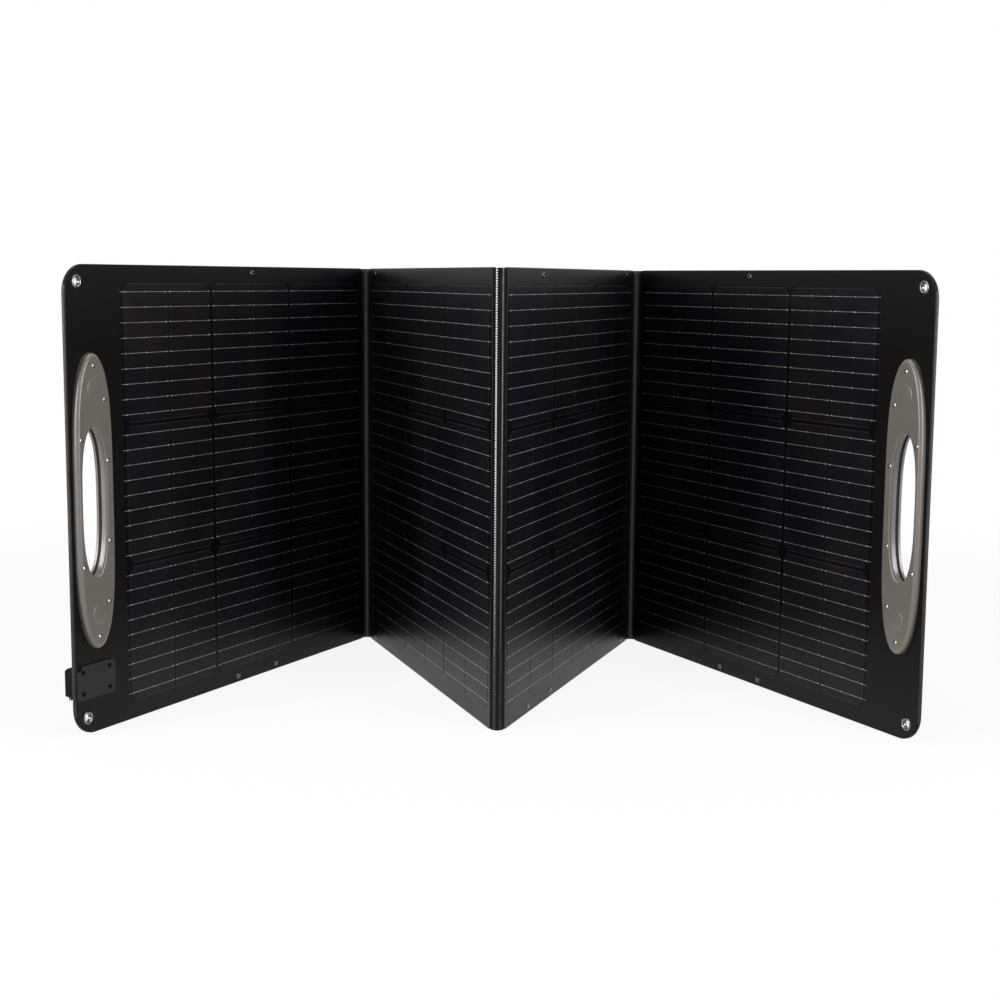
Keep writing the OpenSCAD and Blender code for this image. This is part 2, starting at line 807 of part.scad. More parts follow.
module socket_cover() {
    color([0.04, 0.04, 0.04])
        difference() {
            union() {
                cross_bar(
                    box_u - cover_w / 2, box_u + cover_w / 2, cover_axis_n, cover_axis_z, cover_knuckle_d
                );
                translate([box_u - cover_w / 2, cover_axis_n, cover_z - cover_t])
                    cube([cover_w, cover_front_n - cover_axis_n, cover_t]);
            }
            cross_bar(
                box_u - cover_w, box_u + cover_w, cover_axis_n, cover_axis_z, cover_pin_d + 2 * turn_clear
            );
        }
}

module socket_cover_pin() {
    reach = cover_w / 2 + move_clear + ear_w;
    color([0.7, 0.7, 0.7])
        cross_bar(box_u - reach, box_u + reach, cover_axis_n, cover_axis_z, cover_pin_d);
}

on_outer() outer_front_sheet(true);  // left_outer_front_sheet
on_outer() cells();  // left_outer_cells
on_outer() ribbons();  // left_outer_ribbons
on_outer() outer_board(true);  // left_outer_board
on_outer() outer_back_fabric(true);  // left_outer_back_fabric
on_outer() outer_rivets();  // left_outer_rivets
on_inner() inner_front_sheet(false);  // left_inner_front_sheet
on_inner() cells();  // left_inner_cells
on_inner() ribbons();  // left_inner_ribbons
on_inner() inner_board(false);  // left_inner_board
on_inner() inner_back_fabric(false);  // left_inner_back_fabric
on_inner() inner_rivets(false);  // left_inner_rivets
on_inner(true) inner_front_sheet(true);  // right_inner_front_sheet
on_inner(true) cells();  // right_inner_cells
on_inner(true) ribbons();  // right_inner_ribbons
on_inner(true) inner_board(true);  // right_inner_board
on_inner(true) inner_back_fabric(true);  // right_inner_back_fabric
on_inner(true) inner_rivets(true);  // right_inner_rivets
on_outer(true) outer_front_sheet(false);  // right_outer_front_sheet
on_outer(true) cells();  // right_outer_cells
on_outer(true) ribbons();  // right_outer_ribbons
on_outer(true) outer_board(false);  // right_outer_board
on_outer(true) outer_back_fabric(false);  // right_outer_back_fabric
on_outer(true) outer_rivets();  // right_outer_rivets
valley_strip(false);  // left_fold_strip
ridge_strip();  // middle_fold_strip
valley_strip(true);  // right_fold_strip
on_outer() handle_front();  // left_handle_front
on_outer() handle_rear();  // left_handle_rear
on_outer() handle_magnets();  // left_handle_magnets
on_outer() handle_screws();  // left_handle_screws
on_outer(true) handle_front();  // right_handle_front
on_outer(true) handle_rear();  // right_handle_rear
on_outer(true) handle_magnets();  // right_handle_magnets
on_outer(true) handle_screws();  // right_handle_screws
on_outer() eyelets();  // left_eyelets
on_outer(true) eyelets();  // right_eyelets
on_outer() leg_loop(leg_from_valley);  // left_leg_loop
on_outer() leg_rod(leg_from_valley);  // left_leg_rod
on_outer() leg_board(leg_from_valley);  // left_leg_board
on_outer() leg_foot(leg_from_valley);  // left_leg_foot
on_inner(true) leg_loop(leg_u_middle);  // middle_leg_loop
on_inner(true) leg_rod(leg_u_middle);  // middle_leg_rod
on_inner(true) leg_board(leg_u_middle);  // middle_leg_board
on_inner(true) leg_foot(leg_u_middle);  // middle_leg_foot
on_outer(true) leg_loop(leg_from_valley);  // right_leg_loop
on_outer(true) leg_rod(leg_from_valley);  // right_leg_rod
on_outer(true) leg_board(leg_from_valley);  // right_leg_board
on_outer(true) leg_foot(leg_from_valley);  // right_leg_foot
on_outer() junction_plate();
on_outer() junction_housing();
on_outer() junction_gasket();
on_outer() junction_circuit_board();
on_outer() junction_screws();
on_outer() output_socket();
on_outer() socket_cover();
on_outer() socket_cover_pin();
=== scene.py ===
# %% [markdown]
# # A folding solar panel
# Four stiff panels hang together on three cloth folds and stand as a zigzag on
# their lower edges. The two outer panels carry oval handles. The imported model
# gives every place and joint, and this lesson makes the surfaces that show.

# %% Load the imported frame
import json
import math
from collections import namedtuple
from contextlib import contextmanager
from functools import partialmethod

import bmesh
import bpy
from mathutils import Matrix, Vector


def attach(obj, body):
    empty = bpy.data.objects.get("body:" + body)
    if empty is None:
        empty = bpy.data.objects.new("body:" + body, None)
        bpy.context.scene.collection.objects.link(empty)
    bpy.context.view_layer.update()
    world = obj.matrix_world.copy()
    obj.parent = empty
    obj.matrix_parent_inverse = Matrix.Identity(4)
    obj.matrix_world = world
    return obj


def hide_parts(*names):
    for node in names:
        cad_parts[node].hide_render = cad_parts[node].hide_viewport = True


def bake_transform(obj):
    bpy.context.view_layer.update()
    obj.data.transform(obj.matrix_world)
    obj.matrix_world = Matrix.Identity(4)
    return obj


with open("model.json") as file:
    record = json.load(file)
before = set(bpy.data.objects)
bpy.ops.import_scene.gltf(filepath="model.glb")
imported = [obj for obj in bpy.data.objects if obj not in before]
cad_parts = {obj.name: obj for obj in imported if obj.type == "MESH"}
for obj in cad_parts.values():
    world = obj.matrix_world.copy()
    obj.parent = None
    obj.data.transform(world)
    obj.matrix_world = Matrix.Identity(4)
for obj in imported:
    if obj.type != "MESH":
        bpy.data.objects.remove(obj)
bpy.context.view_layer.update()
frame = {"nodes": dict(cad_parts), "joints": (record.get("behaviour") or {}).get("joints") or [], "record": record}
scene = bpy.context.scene
MM = 0.001
fold_axis = {joint["name"]: Vector(joint["pos_m"]) for joint in frame["joints"]}

# %% [markdown]
# ## Camera
# The photograph was taken from about the height of the panels' tops, looking a
# little down and square to the ridge. A camera is three directions and a place,
# so the matrix is written from its yaw, its pitch and its small roll, and the
# place is counted from the ridge.

# %% Camera
YAW, PITCH, ROLL = (math.radians(angle) for angle in (-0.112, 7.709, 0.416))
EYE_RIGHT, EYE_BACK, EYE_HEIGHT = 0.00523, 1.86897, 0.5268
SENSOR_WIDTH, FOCAL_LENGTH = 36, 58.844
ahead = Vector((
    math.sin(YAW) * math.cos(PITCH), math.cos(YAW) * math.cos(PITCH), -math.sin(PITCH)
))
level = Vector((math.cos(YAW), -math.sin(YAW), 0))
above = level.cross(ahead)
rightward = level * math.cos(ROLL) + above * math.sin(ROLL)
upward = above * math.cos(ROLL) - level * math.sin(ROLL)
ridge = fold_axis["fold_middle"]
bpy.ops.object.camera_add()
camera = bpy.context.object
camera.matrix_world = Matrix((rightward, upward, -ahead)).transposed().to_4x4()
camera.location = Vector((ridge.x + EYE_RIGHT, ridge.y - EYE_BACK, EYE_HEIGHT))
camera.data.sensor_width = SENSOR_WIDTH
camera.data.lens = FOCAL_LENGTH
scene.camera = camera
scene.view_settings.view_transform = "Standard"
print("camera at", [round(part, 3) for part in camera.location])

# %% [markdown]
# ## Panel places
# Each panel has axes of its own: along the panel from its valley fold, out of
# its front face, and up. A piece is made flat in those axes, where its sizes are
# easy to read, and the panel's matrix then stands it in the zigzag. On two of
# the panels that matrix also mirrors, so their faces are turned round again. A
# place is a panel with the word that starts the names of its pieces.

# %% Panel places
Panel = namedtuple("Panel", "name body matrix mirrored outer")
OUTER_ANGLE, INNER_ANGLE = math.radians(62.3), math.radians(69.8)
VALLEY_EDGE, OUTER_WIDTH, INNER_END = 10.8 * MM, 620 * MM, 532.8 * MM
PANEL_HEIGHT = 540 * MM


def standing_panel(name, fold, angle, side, outer):
    along = Vector((side * math.cos(angle), -math.sin(angle), 0))
    facing = Vector((-side * math.sin(angle), -math.cos(angle), 0))
    matrix = Matrix((along, facing, Vector((0, 0, 1)))).transposed().to_4x4()
    matrix.translation = Vector((fold.x, fold.y, 0))
    return Panel(name, name + "_panel", matrix, matrix.determinant() < 0, outer)


left_valley, right_valley = fold_axis["fold_left"], fold_axis["fold_right"]
left_outer = standing_panel("left_outer", left_valley, OUTER_ANGLE, -1, True)
left_inner = standing_panel("left_inner", left_valley, INNER_ANGLE, 1, False)
right_inner = standing_panel("right_inner", right_valley, INNER_ANGLE, -1, False)
right_outer = standing_panel("right_outer", right_valley, OUTER_ANGLE, 1, True)
panels = (left_outer, left_inner, right_inner, right_outer)
all_places = [(panel, panel.name) for panel in panels]
handle_places = [(left_outer, "left"), (right_outer, "right")]
print("panels:", [(panel.name, panel.mirrored) for panel in panels])

# %% [markdown]
# ## Workbench
# A few helpers stand for what a hand does again and again: add a primitive by
# itself, step into edit mode, pick corners or faces by their place, and press
# Apply on a modifier. Everything is deselected before each new primitive.

# %% Workbench
TINY = 1e-6
SMOOTH_ANGLE = math.radians(35)


def alone(piece):
    bpy.ops.object.select_all(action="DESELECT")
    piece.select_set(True)
    bpy.context.view_layer.objects.active = piece


def settle(piece):
    """Put a piece's place, turn and scale into its mesh."""
    alone(piece)
    bpy.ops.object.transform_apply(location=True, rotation=True, scale=True)


def start(name, add, scale=(1, 1, 1), **size):
    """Add a primitive by itself, name it and settle it."""
    bpy.ops.object.select_all(action="DESELECT")
    add(**size)
    piece = bpy.context.object
    piece.name = piece.data.name = name
    piece.scale = scale
    settle(piece)
    return piece


def cylinder(middle, length, radius, sides, turn=(0, 0, 0)):
    return start(
        "bar", bpy.ops.mesh.primitive_cylinder_add, vertices=sides, radius=radius, depth=length,
        rotation=turn, location=middle,
    )


def block(size, middle):
    """A box by its three sizes and the place of its middle."""
    return start("block", bpy.ops.mesh.primitive_cube_add, size, size=1, location=middle)


def loop_of(name, points, fill="NOTHING"):
    """A closed loop through points, made from a circle."""
    piece = start(name, bpy.ops.mesh.primitive_circle_add, vertices=len(points), fill_type=fill)
    for vertex, point in zip(piece.data.vertices, points):
        vertex.co = point
    return piece


def laid_grid(name, columns, rows, lay):
    """A grid whose every corner is laid where lay(column, row) says."""
    piece = start(
        name, bpy.ops.mesh.primitive_grid_add, x_subdivisions=columns, y_subdivisions=rows, size=1
    )
    for vertex in piece.data.vertices:
        vertex.co = lay(round((vertex.co.x + 0.5) * columns), round((vertex.co.y + 0.5) * rows))
    return piece


@contextmanager
def editing(piece, kind="FACE"):
    alone(piece)
    bpy.ops.object.mode_set(mode="EDIT")
    bpy.ops.mesh.select_mode(type=kind)
    bpy.ops.mesh.select_all(action="SELECT")
    yield
    bpy.ops.object.mode_set(mode="OBJECT")


def pick(piece, kind, wanted):
    """In edit mode, select the parts all of whose corners pass a test."""
    bpy.ops.mesh.select_mode(type=kind)
    bpy.ops.mesh.select_all(action="DESELECT")
    shape = bmesh.from_edit_mesh(piece.data)
    if kind == "VERT":
        chosen = [part for part in shape.verts if wanted(part.co)]
    else:
        parts = shape.edges if kind == "EDGE" else shape.faces
        chosen = [part for part in parts if all(wanted(v.co) for v in part.verts)]
    for part in chosen:
        part.select_set(True)
    shape.select_flush_mode()
    bmesh.update_edit_mesh(piece.data)


def pull(distance):
    """Extrude what is selected along the panel's front normal."""
    bpy.ops.mesh.extrude_region_move(TRANSFORM_OT_translate={"value": (0, distance, 0)})


def bevel(width, steps, kind="EDGES"):
    bpy.ops.mesh.bevel(offset=width, segments=steps, affect=kind)


def round_edges(piece, wanted, width, steps):
    """Bevel the edges whose corners pass a test."""
    with editing(piece):
        pick(piece, "EDGE", wanted)
        bevel(width, steps)


def face_outwards():
    bpy.ops.mesh.select_all(action="SELECT")
    bpy.ops.mesh.normals_make_consistent(inside=False)


def finish_with(piece, kind, **settings):
    alone(piece)
    modifier = piece.modifiers.new(kind.title(), kind)
    for name, value in settings.items():
        setattr(modifier, name, value)
    bpy.ops.object.modifier_apply(modifier=modifier.name)


def thicken(piece, thickness, offset):
    finish_with(piece, "SOLIDIFY", thickness=thickness, offset=offset)
    with editing(piece):
        face_outwards()


def soften(piece, width, steps, angle):
    """Bevel every edge that is sharper than an angle in degrees."""
    limit = math.radians(angle)
    finish_with(piece, "BEVEL", width=width, segments=steps, limit_method="ANGLE", angle_limit=limit)


def repeat(piece, count, step):
    finish_with(
        piece, "ARRAY", count=count, use_relative_offset=False, use_constant_offset=True,
        constant_offset_displace=step,
    )


def cut(piece, *cutters):
    for cutter in cutters:
        finish_with(piece, "BOOLEAN", object=cutter, operation="DIFFERENCE", solver="EXACT")
        bpy.data.objects.remove(cutter)


def weld(piece, *parts):
    for part in parts:
        finish_with(piece, "BOOLEAN", object=part, operation="UNION", solver="EXACT")
        bpy.data.objects.remove(part)


def copy_to(piece, name, place):
    twin = piece.copy()
    twin.data = piece.data.copy()
    twin.name = twin.data.name = name
    scene.collection.objects.link(twin)
    twin.matrix_world = place
    settle(twin)
    return twin


def joined(name, pieces):
    alone(pieces[0])
    for piece in pieces[1:]:
        piece.select_set(True)
    if len(pieces) > 1:
        bpy.ops.object.join()
    pieces[0].name = pieces[0].data.name = name
    return pieces[0]


def rows_of(name, piece, spots):
    """Copies of a small piece, moved to (u, z) spots and joined. The piece goes."""
    made = [copy_to(piece, name, Matrix.Translation((u, 0, z))) for u, z in spots]
    bpy.data.objects.remove(piece)
    return joined(name, made)


def smooth(piece):
    alone(piece)
    bpy.ops.object.shade_smooth_by_angle(angle=SMOOTH_ANGLE)
    finish_with(piece, "WEIGHTED_NORMAL", keep_sharp=True, weight=80)


PANEL_MAP = "PanelMap"


def lay_map(piece):
    """A UV map that holds the panel's own two directions, in metres."""
    layer = piece.data.uv_layers.new(name=PANEL_MAP)
    corners = piece.data.vertices
    for loop in piece.data.loops:
        place = corners[loop.vertex_index].co
        layer.data[loop.index].uv = (place.x, place.z)


def stand(piece, places, name, finish, node=None, body=None):
    """Copies of a flat piece in its places: turned right side out and shaded. The piece goes."""
    copies = []
    for panel, word in places:
        made = copy_to(piece, word + name, panel.matrix)
        if panel.mirrored:
            with editing(made):
                bpy.ops.mesh.flip_normals()
        smooth(made)
        made.data.materials.clear()
        made.data.materials.append(finish.material)
        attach(made, body or panel.body)
        if node:
            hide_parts(word + node)
        print("made", made.name, len(made.data.polygons), "faces")
        copies.append(made)
    bpy.data.objects.remove(piece)
    return copies


# %% [markdown]
# ## Finishes
# A finish is a material with one Principled shader. Shader maths reads like
# plain sums here: a Value wraps an output, and each operator on it adds a Math
# node. Every other node comes from one method, which takes the node's settings
# first and its inputs after them.

# %% Shader toolkit
class Value:
    """One output in a finish. Operators on it add Math nodes."""

    def __init__(self, finish, socket):
        self.finish, self.socket = finish, socket

    def math(self, operation, *others):
        inputs = dict(enumerate((self, *others)))
        return self.finish.node("ShaderNodeMath", {"operation": operation}, inputs)

    __add__ = __radd__ = partialmethod(math, "ADD")
    __mul__ = __rmul__ = partialmethod(math, "MULTIPLY")
    __sub__ = partialmethod(math, "SUBTRACT")
    __lt__ = partialmethod(math, "LESS_THAN")
    __gt__ = partialmethod(math, "GREATER_THAN")
    __mod__ = partialmethod(math, "FLOORED_MODULO")
    __abs__ = partialmethod(math, "ABSOLUTE")

    def wave(self, length):
        return (self * (2 * math.pi / length)).math("SINE")


class Nodes:
    """A node tree, with one method that adds any node."""

    def __init__(self, tree):
        self.tree = tree

    def node(self, kind, settings=None, inputs=None, output=0):
        made = self.tree.nodes.new(kind)
        for name, value in (settings or {}).items():
            setattr(made, name, value)
        for name, value in (inputs or {}).items():
            self.join(value, made.inputs[name])
        return Value(self, made.outputs[output])

    def join(self, value, socket):
        if isinstance(value, Value):
            self.tree.links.new(value.socket, socket)
        else:
            socket.default_value = value

    def parts(self, vector):
        return [self.node("ShaderNodeSeparateXYZ", None, {0: vector}, i) for i in range(3)]

    def place(self):
        return self.node("ShaderNodeTexCoord", None, None, "Object")

    def panel_map(self):
        return self.node("ShaderNodeUVMap", {"uv_map": PANEL_MAP})

    def speckle(self, vector, scale, detail=3):
        inputs = {"Vector": vector, "Scale": scale, "Detail": detail}
        return self.node("ShaderNodeTexNoise", None, inputs, "Fac")

    def mix(self, share, first, second):
        inputs = {"Factor": share, 6: self.colour(first), 7: self.colour(second)}
        return self.node("ShaderNodeMix", {"data_type": "RGBA"}, inputs, 2)

    @staticmethod
    def colour(value):
        return value if isinstance(value, Value) else (*value, 1)

    def seen_directly(self):
        """1 on a ray from the camera, a mirror-like surface or glass, else 0."""
        camera_ray, glossy_ray, through_ray = (
            self.node("ShaderNodeLightPath", None, None, kind)
            for kind in ("Is Camera Ray", "Is Glossy Ray", "Is Transmission Ray")
        )
        return camera_ray.math("MAXIMUM", glossy_ray).math("MAXIMUM", through_ray)


class Finish(Nodes):
    """A material named for what it covers, with plain values on its shader."""

    def __init__(self, name, **plain):
        self.material = bpy.data.materials.new(name)
        self.material.use_nodes = True
        super().__init__(self.material.node_tree)
        self.shader = self.tree.nodes["Principled BSDF"]
        for socket, value in plain.items():
            self.feed(socket.replace("_", " ").title().replace("Ior", "IOR"), value)

    def feed(self, socket, value):
        if socket == "Base Color":
            value = self.colour(value)
        self.join(value, self.shader.inputs[socket])

    def bump(self, height, depth, strength):
        inputs = {"Strength": strength, "Distance": depth, "Height": height}
        self.feed("Normal", self.node("ShaderNodeBump", None, inputs))


print("toolkit ready")

# %% [markdown]
# ## Film and cells
# The front of a panel is one tough film with a fine pressed check of raised
# dots, about 1.9 mm from dot to dot. The cells are flat navy plates with thin
# printed fingers. Both patterns follow the panel, so they read the panel's own
# map instead of the room's axes.

# %% Film and cell finishes
DOT_WIDE, DOT_TALL = 3.2 * MM, 1.9 * MM
FINGER_PITCH, FINGER_WIDE = 2.4 * MM, 0.5 * MM
CELL, CELL_GAP, HALF_GAP, CELL_CORNER = 163 * MM, 4 * MM, 1 * MM, 9 * MM
CELL_PITCH = CELL + CELL_GAP
CELL_START, CELL_EDGE_HIGHLIGHT, CELLS = 27 * MM, 1.2 * MM, 3
BLOCK = CELLS * CELL_PITCH - CELL_GAP
BLOCK_Z = (PANEL_HEIGHT - BLOCK) / 2
BLOCK_MARGIN, RIM_HIGHLIGHT_BAND = 4 * MM, 1 * MM

film = Finish("pressed_film", specular_ior_level=0.11, specular_tint=(1, 0.87, 0.85, 1))
film_u, film_z, _ = film.parts(film.panel_map())
film_dots = film_u.wave(DOT_WIDE) * film_z.wave(DOT_TALL)
film_cloud = film.speckle(film.panel_map(), 9)
behind_cells = (
    (film_u > CELL_START - BLOCK_MARGIN) * (film_u < CELL_START + BLOCK + BLOCK_MARGIN)
    * (film_z > BLOCK_Z) * (film_z < BLOCK_Z + BLOCK)
)
outer_edge = film_u > OUTER_WIDTH - RIM_HIGHLIGHT_BAND
# Painted highlight: a dotted light-grey band along the outer edge, for the side light that the rounded rim
# catches. The same band is also made less rough.
painted_rim_highlight = outer_edge * (film_z.wave(DOT_TALL) * 0.5 + 0.5)
film_colour = film.mix(
    film_dots * 0.5 + film_cloud * 0.2 + 0.4, (0.0003, 0.0003, 0.0003), (0.0086, 0.0075, 0.0072)
)
# The painted rim highlight is mixed into the film colour here.
film_colour = film.mix(painted_rim_highlight * film_cloud, film_colour, (0.085, 0.08, 0.078))
film.feed("Base Color", film.mix(behind_cells, film_colour, (0.0028, 0.0025, 0.0032)))
film.feed("Roughness", film_cloud * 0.12 + 0.27 - behind_cells * 0.06 - outer_edge * 0.14)
film.bump(film_dots, 0.0001, 0.6)

cell = Finish("navy_cell", specular_ior_level=0.15, specular_tint=(1, 0.88, 0.9, 1))
cell_u, cell_z, _ = cell.parts(cell.panel_map())
fingers = (cell_u % FINGER_PITCH) < FINGER_WIDE
from_edge = abs(((cell_z - BLOCK_Z) % CELL_PITCH) - CELL / 2)
# Painted highlight: a thin lighter line along the top and bottom edge of every cell, for the light its rim
# catches.
painted_edge_highlight = from_edge > CELL / 2 - CELL_EDGE_HIGHLIGHT
cell_cloud = cell.speckle(cell.panel_map(), 14)
cell_hue = cell.node("ShaderNodeMapRange", None, {
    "Value": cell.speckle(cell.place(), 5, 1), "From Min": 0.4, "From Max": 0.6,
})
cell_light = cell.mix(cell_hue, (0.0105, 0.0096, 0.0200), (0.0225, 0.0165, 0.0160))
cell.feed("Base Color", cell.mix(
    fingers * 0.25 + painted_edge_highlight * 0.8 + cell_cloud * 0.3, (0.0022, 0.0018, 0.0034), cell_light
))
cell.feed("Roughness", cell_cloud * 0.1 + 0.32)
cell.bump(fingers + cell_cloud, 0.00002, 0.3)
print("film and cells")

# %% [markdown]
# ## Metals
# Tinned ribbons, nickel rivets and steel screws differ in how far their
# brightness spreads. Fine noise on the roughness gives each the handled look of
# real metal. The ribbons are part tin, part flux, so they aren't fully metallic.

# %% Metal finishes
def metal(name, colour, rough, spread, grain):
    made = Finish(name, base_color=colour, metallic=1.0)
    made.feed("Roughness", made.speckle(made.place(), grain) * spread + (rough - spread / 2))
    return made


ribbon = Finish("tinned_ribbon", metallic=0.5)
ribbon_cloud = ribbon.speckle(ribbon.panel_map(), 60)
ribbon.feed("Base Color", ribbon.mix(ribbon_cloud, (0.10, 0.096, 0.096), (0.40, 0.39, 0.38)))
ribbon.feed("Roughness", ribbon_cloud * 0.2 + 0.22)
nickel = metal("nickel_plate", (0.24, 0.228, 0.21), 0.16, 0.1, 900)
rivet_metal = metal("dark_nickel", (0.10, 0.097, 0.096), 0.2, 0.12, 900)
steel = metal("screw_steel", (0.78, 0.77, 0.75), 0.2, 0.12, 700)
magnet_plate = metal("magnet_plate", (0.6, 0.6, 0.62), 0.35, 0.2, 400)
dark_steel = metal("blackened_steel", (0.006, 0.0055, 0.006), 0.4, 0.2, 700)
print("metals")

# %% [markdown]
# ## Plastics and rubber
# The handles are moulded in a warm satin grey, the junction box in near black
# with a spark-eroded grain, its front plate a little lighter than its housing.
# Grain is noise at two sizes: the fine one moves the normal, and both shift the
# colour a little, as moulded flow does.

# %% Plastic finishes
def moulded(name, dark, light, rough, grain, depth, gloss=0.4):
    made = Finish(name, specular_ior_level=gloss)
    broad = made.speckle(made.place(), 22, 2)
    fine = made.speckle(made.place(), grain, 4)
    made.feed("Base Color", made.mix(broad * 0.6 + fine * 0.4, dark, light))
    made.feed("Roughness", fine * 0.16 + (rough - 0.08))
    made.bump(fine, depth, 0.35)
    return made


handle_grey = moulded(
    "satin_warm_grey", (0.096, 0.083, 0.072), (0.136, 0.121, 0.106), 0.3, 1600, 0.00006, 0.65
)
box_black, plate_black, housing_black = (
    moulded("grained_" + name, dark, light, 0.5, 2200, 0.00008, gloss)
    for name, dark, light, gloss in (
        ("box_plastic", (0.0060, 0.0052, 0.0052), (0.0125, 0.0108, 0.0110), 0.12),
        ("plate_plastic", (0.0150, 0.0125, 0.0130), (0.0240, 0.0205, 0.0215), 0.12),
        ("housing_plastic", (0.0030, 0.0026, 0.0027), (0.0065, 0.0056, 0.0058), 0.06),
    )
)
rubber = moulded("black_rubber", (0.010, 0.010, 0.010), (0.022, 0.021, 0.021), 0.75, 1200, 0.0001)
board_green = moulded("glass_fibre_board", (0.07, 0.08, 0.06), (0.13, 0.14, 0.11), 0.55, 900, 0.00005)
circuit = moulded("circuit_lacquer", (0.010, 0.060, 0.025), (0.020, 0.110, 0.045), 0.3, 500, 0.00005)
print("plastics")

# %% [markdown]
# ## Cloths
# The back of each panel is a coated twill, the legs wear the same twill, and
# the folds are a smoother coated strip. A twill is two sets of threads whose
# crossings step sideways, which two slanted waves give.

# %% Cloth finishes
def twill(name, dark, light, thread):
    made = Finish(name, specular_ior_level=0.25, sheen_weight=0.12, sheen_roughness=0.5)
    u, z, _ = made.parts(made.panel_map())
    ribs = (u + z).wave(thread * 2) * 0.5 + 0.5
    threads = ribs * ((u - z).wave(thread * 2) * 0.3 + 0.7)
    fade = made.speckle(made.panel_map(), 7)
    made.feed("Base Color", made.mix(threads * 0.7 + fade * 0.3, dark, light))
    made.feed("Roughness", threads * 0.15 + 0.62)
    made.bump(threads, thread * 0.25, 0.7)
    return made


def clouded(name, scale, dark, light, spread, rough, **plain):
    """A finish whose colour and roughness follow one fine noise."""
    made = Finish(name, **plain)
    cloud = made.speckle(made.place(), scale)
    made.feed("Base Color", made.mix(cloud, dark, light))
    made.feed("Roughness", cloud * spread + rough)
    return made, cloud


back_twill = twill("coated_twill", (0.010, 0.010, 0.011), (0.032, 0.031, 0.033), 0.8 * MM)
leg_twill = twill("leg_cover_twill", (0.012, 0.012, 0.013), (0.036, 0.035, 0.037), 0.9 * MM)
webbing = Finish("ribbed_webbing", specular_ior_level=0.25, sheen_weight=0.15)
webbing_u, webbing_z, _ = webbing.parts(webbing.panel_map())
webbing_ribs = webbing_u.wave(1.6 * MM) * 0.5 + webbing_z.wave(0.9 * MM) * 0.3 + 0.5
webbing.feed("Base Color", webbing.mix(webbing_ribs, (0.010, 0.010, 0.011), (0.04, 0.039, 0.04)))
webbing.feed("Roughness", webbing_ribs * 0.1 + 0.7)
webbing.bump(webbing_ribs, 0.0002, 0.8)
thread_grey, _ = clouded(
    "sewing_thread", 1500, (0.02, 0.02, 0.021), (0.07, 0.068, 0.07), 0.2, 0.6, specular_ior_level=0.3
)
fold_cloth, fold_cloud = clouded(
    "coated_fold_strip", 500, (0.010, 0.0095, 0.010), (0.022, 0.021, 0.022), 0.15, 0.3,
    specular_ior_level=0.38,
)
fold_cloth.bump(fold_cloud, 0.00006, 0.4)
ridge_cloth, _ = clouded(
    "pressed_ridge_strip", 500, (0.002, 0.0019, 0.002), (0.006, 0.0056, 0.006), 0.06, 0.2,
    specular_ior_level=0.1, coat_roughness=0.1,
)
ridge_across = ridge_cloth.parts(ridge_cloth.place())[0]
print("cloths")

# %% [markdown]
# ## Front sheets
# A front sheet starts as a plane the size of the panel. Its corners are bevelled
# as points, which rounds an outline without a single drawn arc. The plane is
# pulled back to a slab, the rear is inset and pushed forward again, and a thin
# lip is left that covers the edge of the board. The front rim is rounded, and on
# the outer panels Boolean cuts the holes for the grip and the eyelets.

# %% Front sheets
OUTER_RADIUS, FOLD_RADIUS = 32 * MM, 6 * MM
FRONT, BOARD_FRONT, BOARD_BACK, BACK = -1 * MM, -2 * MM, -4.4 * MM, -5.6 * MM
LIP, FILM_RIM = 0.35 * MM, 1.2 * MM
GRIP_CLEARANCE, EYELET_HOLE, THROUGH = 2.4 * MM, 5.9 * MM, 20 * MM
GRIP_POWER = 3


def rounded_slab(name, low, high, back, front, fold_radius, far_radius, steps=12):
    """A slab between two (u, z) corners, with its own radius at each end."""
    middle = (low[0] + high[0]) / 2
    piece = start(
        name, bpy.ops.mesh.primitive_plane_add, size=1, rotation=(-math.pi / 2, 0, 0),
        scale=(high[0] - low[0], high[1] - low[1], 1),
        location=(middle, front, (low[1] + high[1]) / 2),
    )
    with editing(piece):
        pick(piece, "VERT", lambda place: place.x < middle)
        bevel(fold_radius, steps, "VERTICES")
        pick(piece, "VERT", lambda place: place.x > high[0] - TINY)
        bevel(far_radius, steps, "VERTICES")
        bpy.ops.mesh.select_all(action="SELECT")
        pull(back - front)
        face_outwards()
    return piece


def panel_slab(name, outer, back, front):
    low = (VALLEY_EDGE - LIP, 0)
    high = ((OUTER_WIDTH if outer else INNER_END) + LIP, PANEL_HEIGHT)
    return rounded_slab(name, low, high, back, front, FOLD_RADIUS, OUTER_RADIUS if outer else FOLD_RADIUS)


def bar(u, z, radius, back, front, sides=40):
    """A cylinder along the panel's front normal."""
    return cylinder((u, (front + back) / 2, z), front - back, radius, sides, (math.pi / 2, 0, 0))


GRIP_U, GRIP_Z, GRIP_WIDTH, GRIP_LENGTH = 587.5 * MM, 270 * MM, 39 * MM, 172 * MM
EYELET_SPOTS = [(600 * MM, z * MM) for z in (19.5, 520.5)]


def oval_points(u, width, length, power, sides=128):
    """Points round a long oval whose ends are blunter the higher the power."""
    turns = [2 * math.pi * step / sides for step in range(sides)]
    return [(
        u + width / 2 * math.cos(turn),
        GRIP_Z + length / 2 * math.copysign(abs(math.sin(turn)) ** (2 / power), math.sin(turn)),
    ) for turn in turns]


def oval_loop(name, points, n, fill="NOTHING"):
    return loop_of(name, [(u, n, z) for u, z in points], fill)


def grip_points(grow):
    return oval_points(GRIP_U, GRIP_WIDTH + grow, GRIP_LENGTH + grow, GRIP_POWER)


def grip_cutter(grow):
    piece = oval_loop("grip_cutter", grip_points(2 * grow), THROUGH, "NGON")
    with editing(piece):
        pull(-2 * THROUGH)
        face_outwards()
    return piece


def outer_holes():
    eyelets = [bar(u, z, EYELET_HOLE, -THROUGH, THROUGH) for u, z in EYELET_SPOTS]
    return [grip_cutter(GRIP_CLEARANCE), *eyelets]


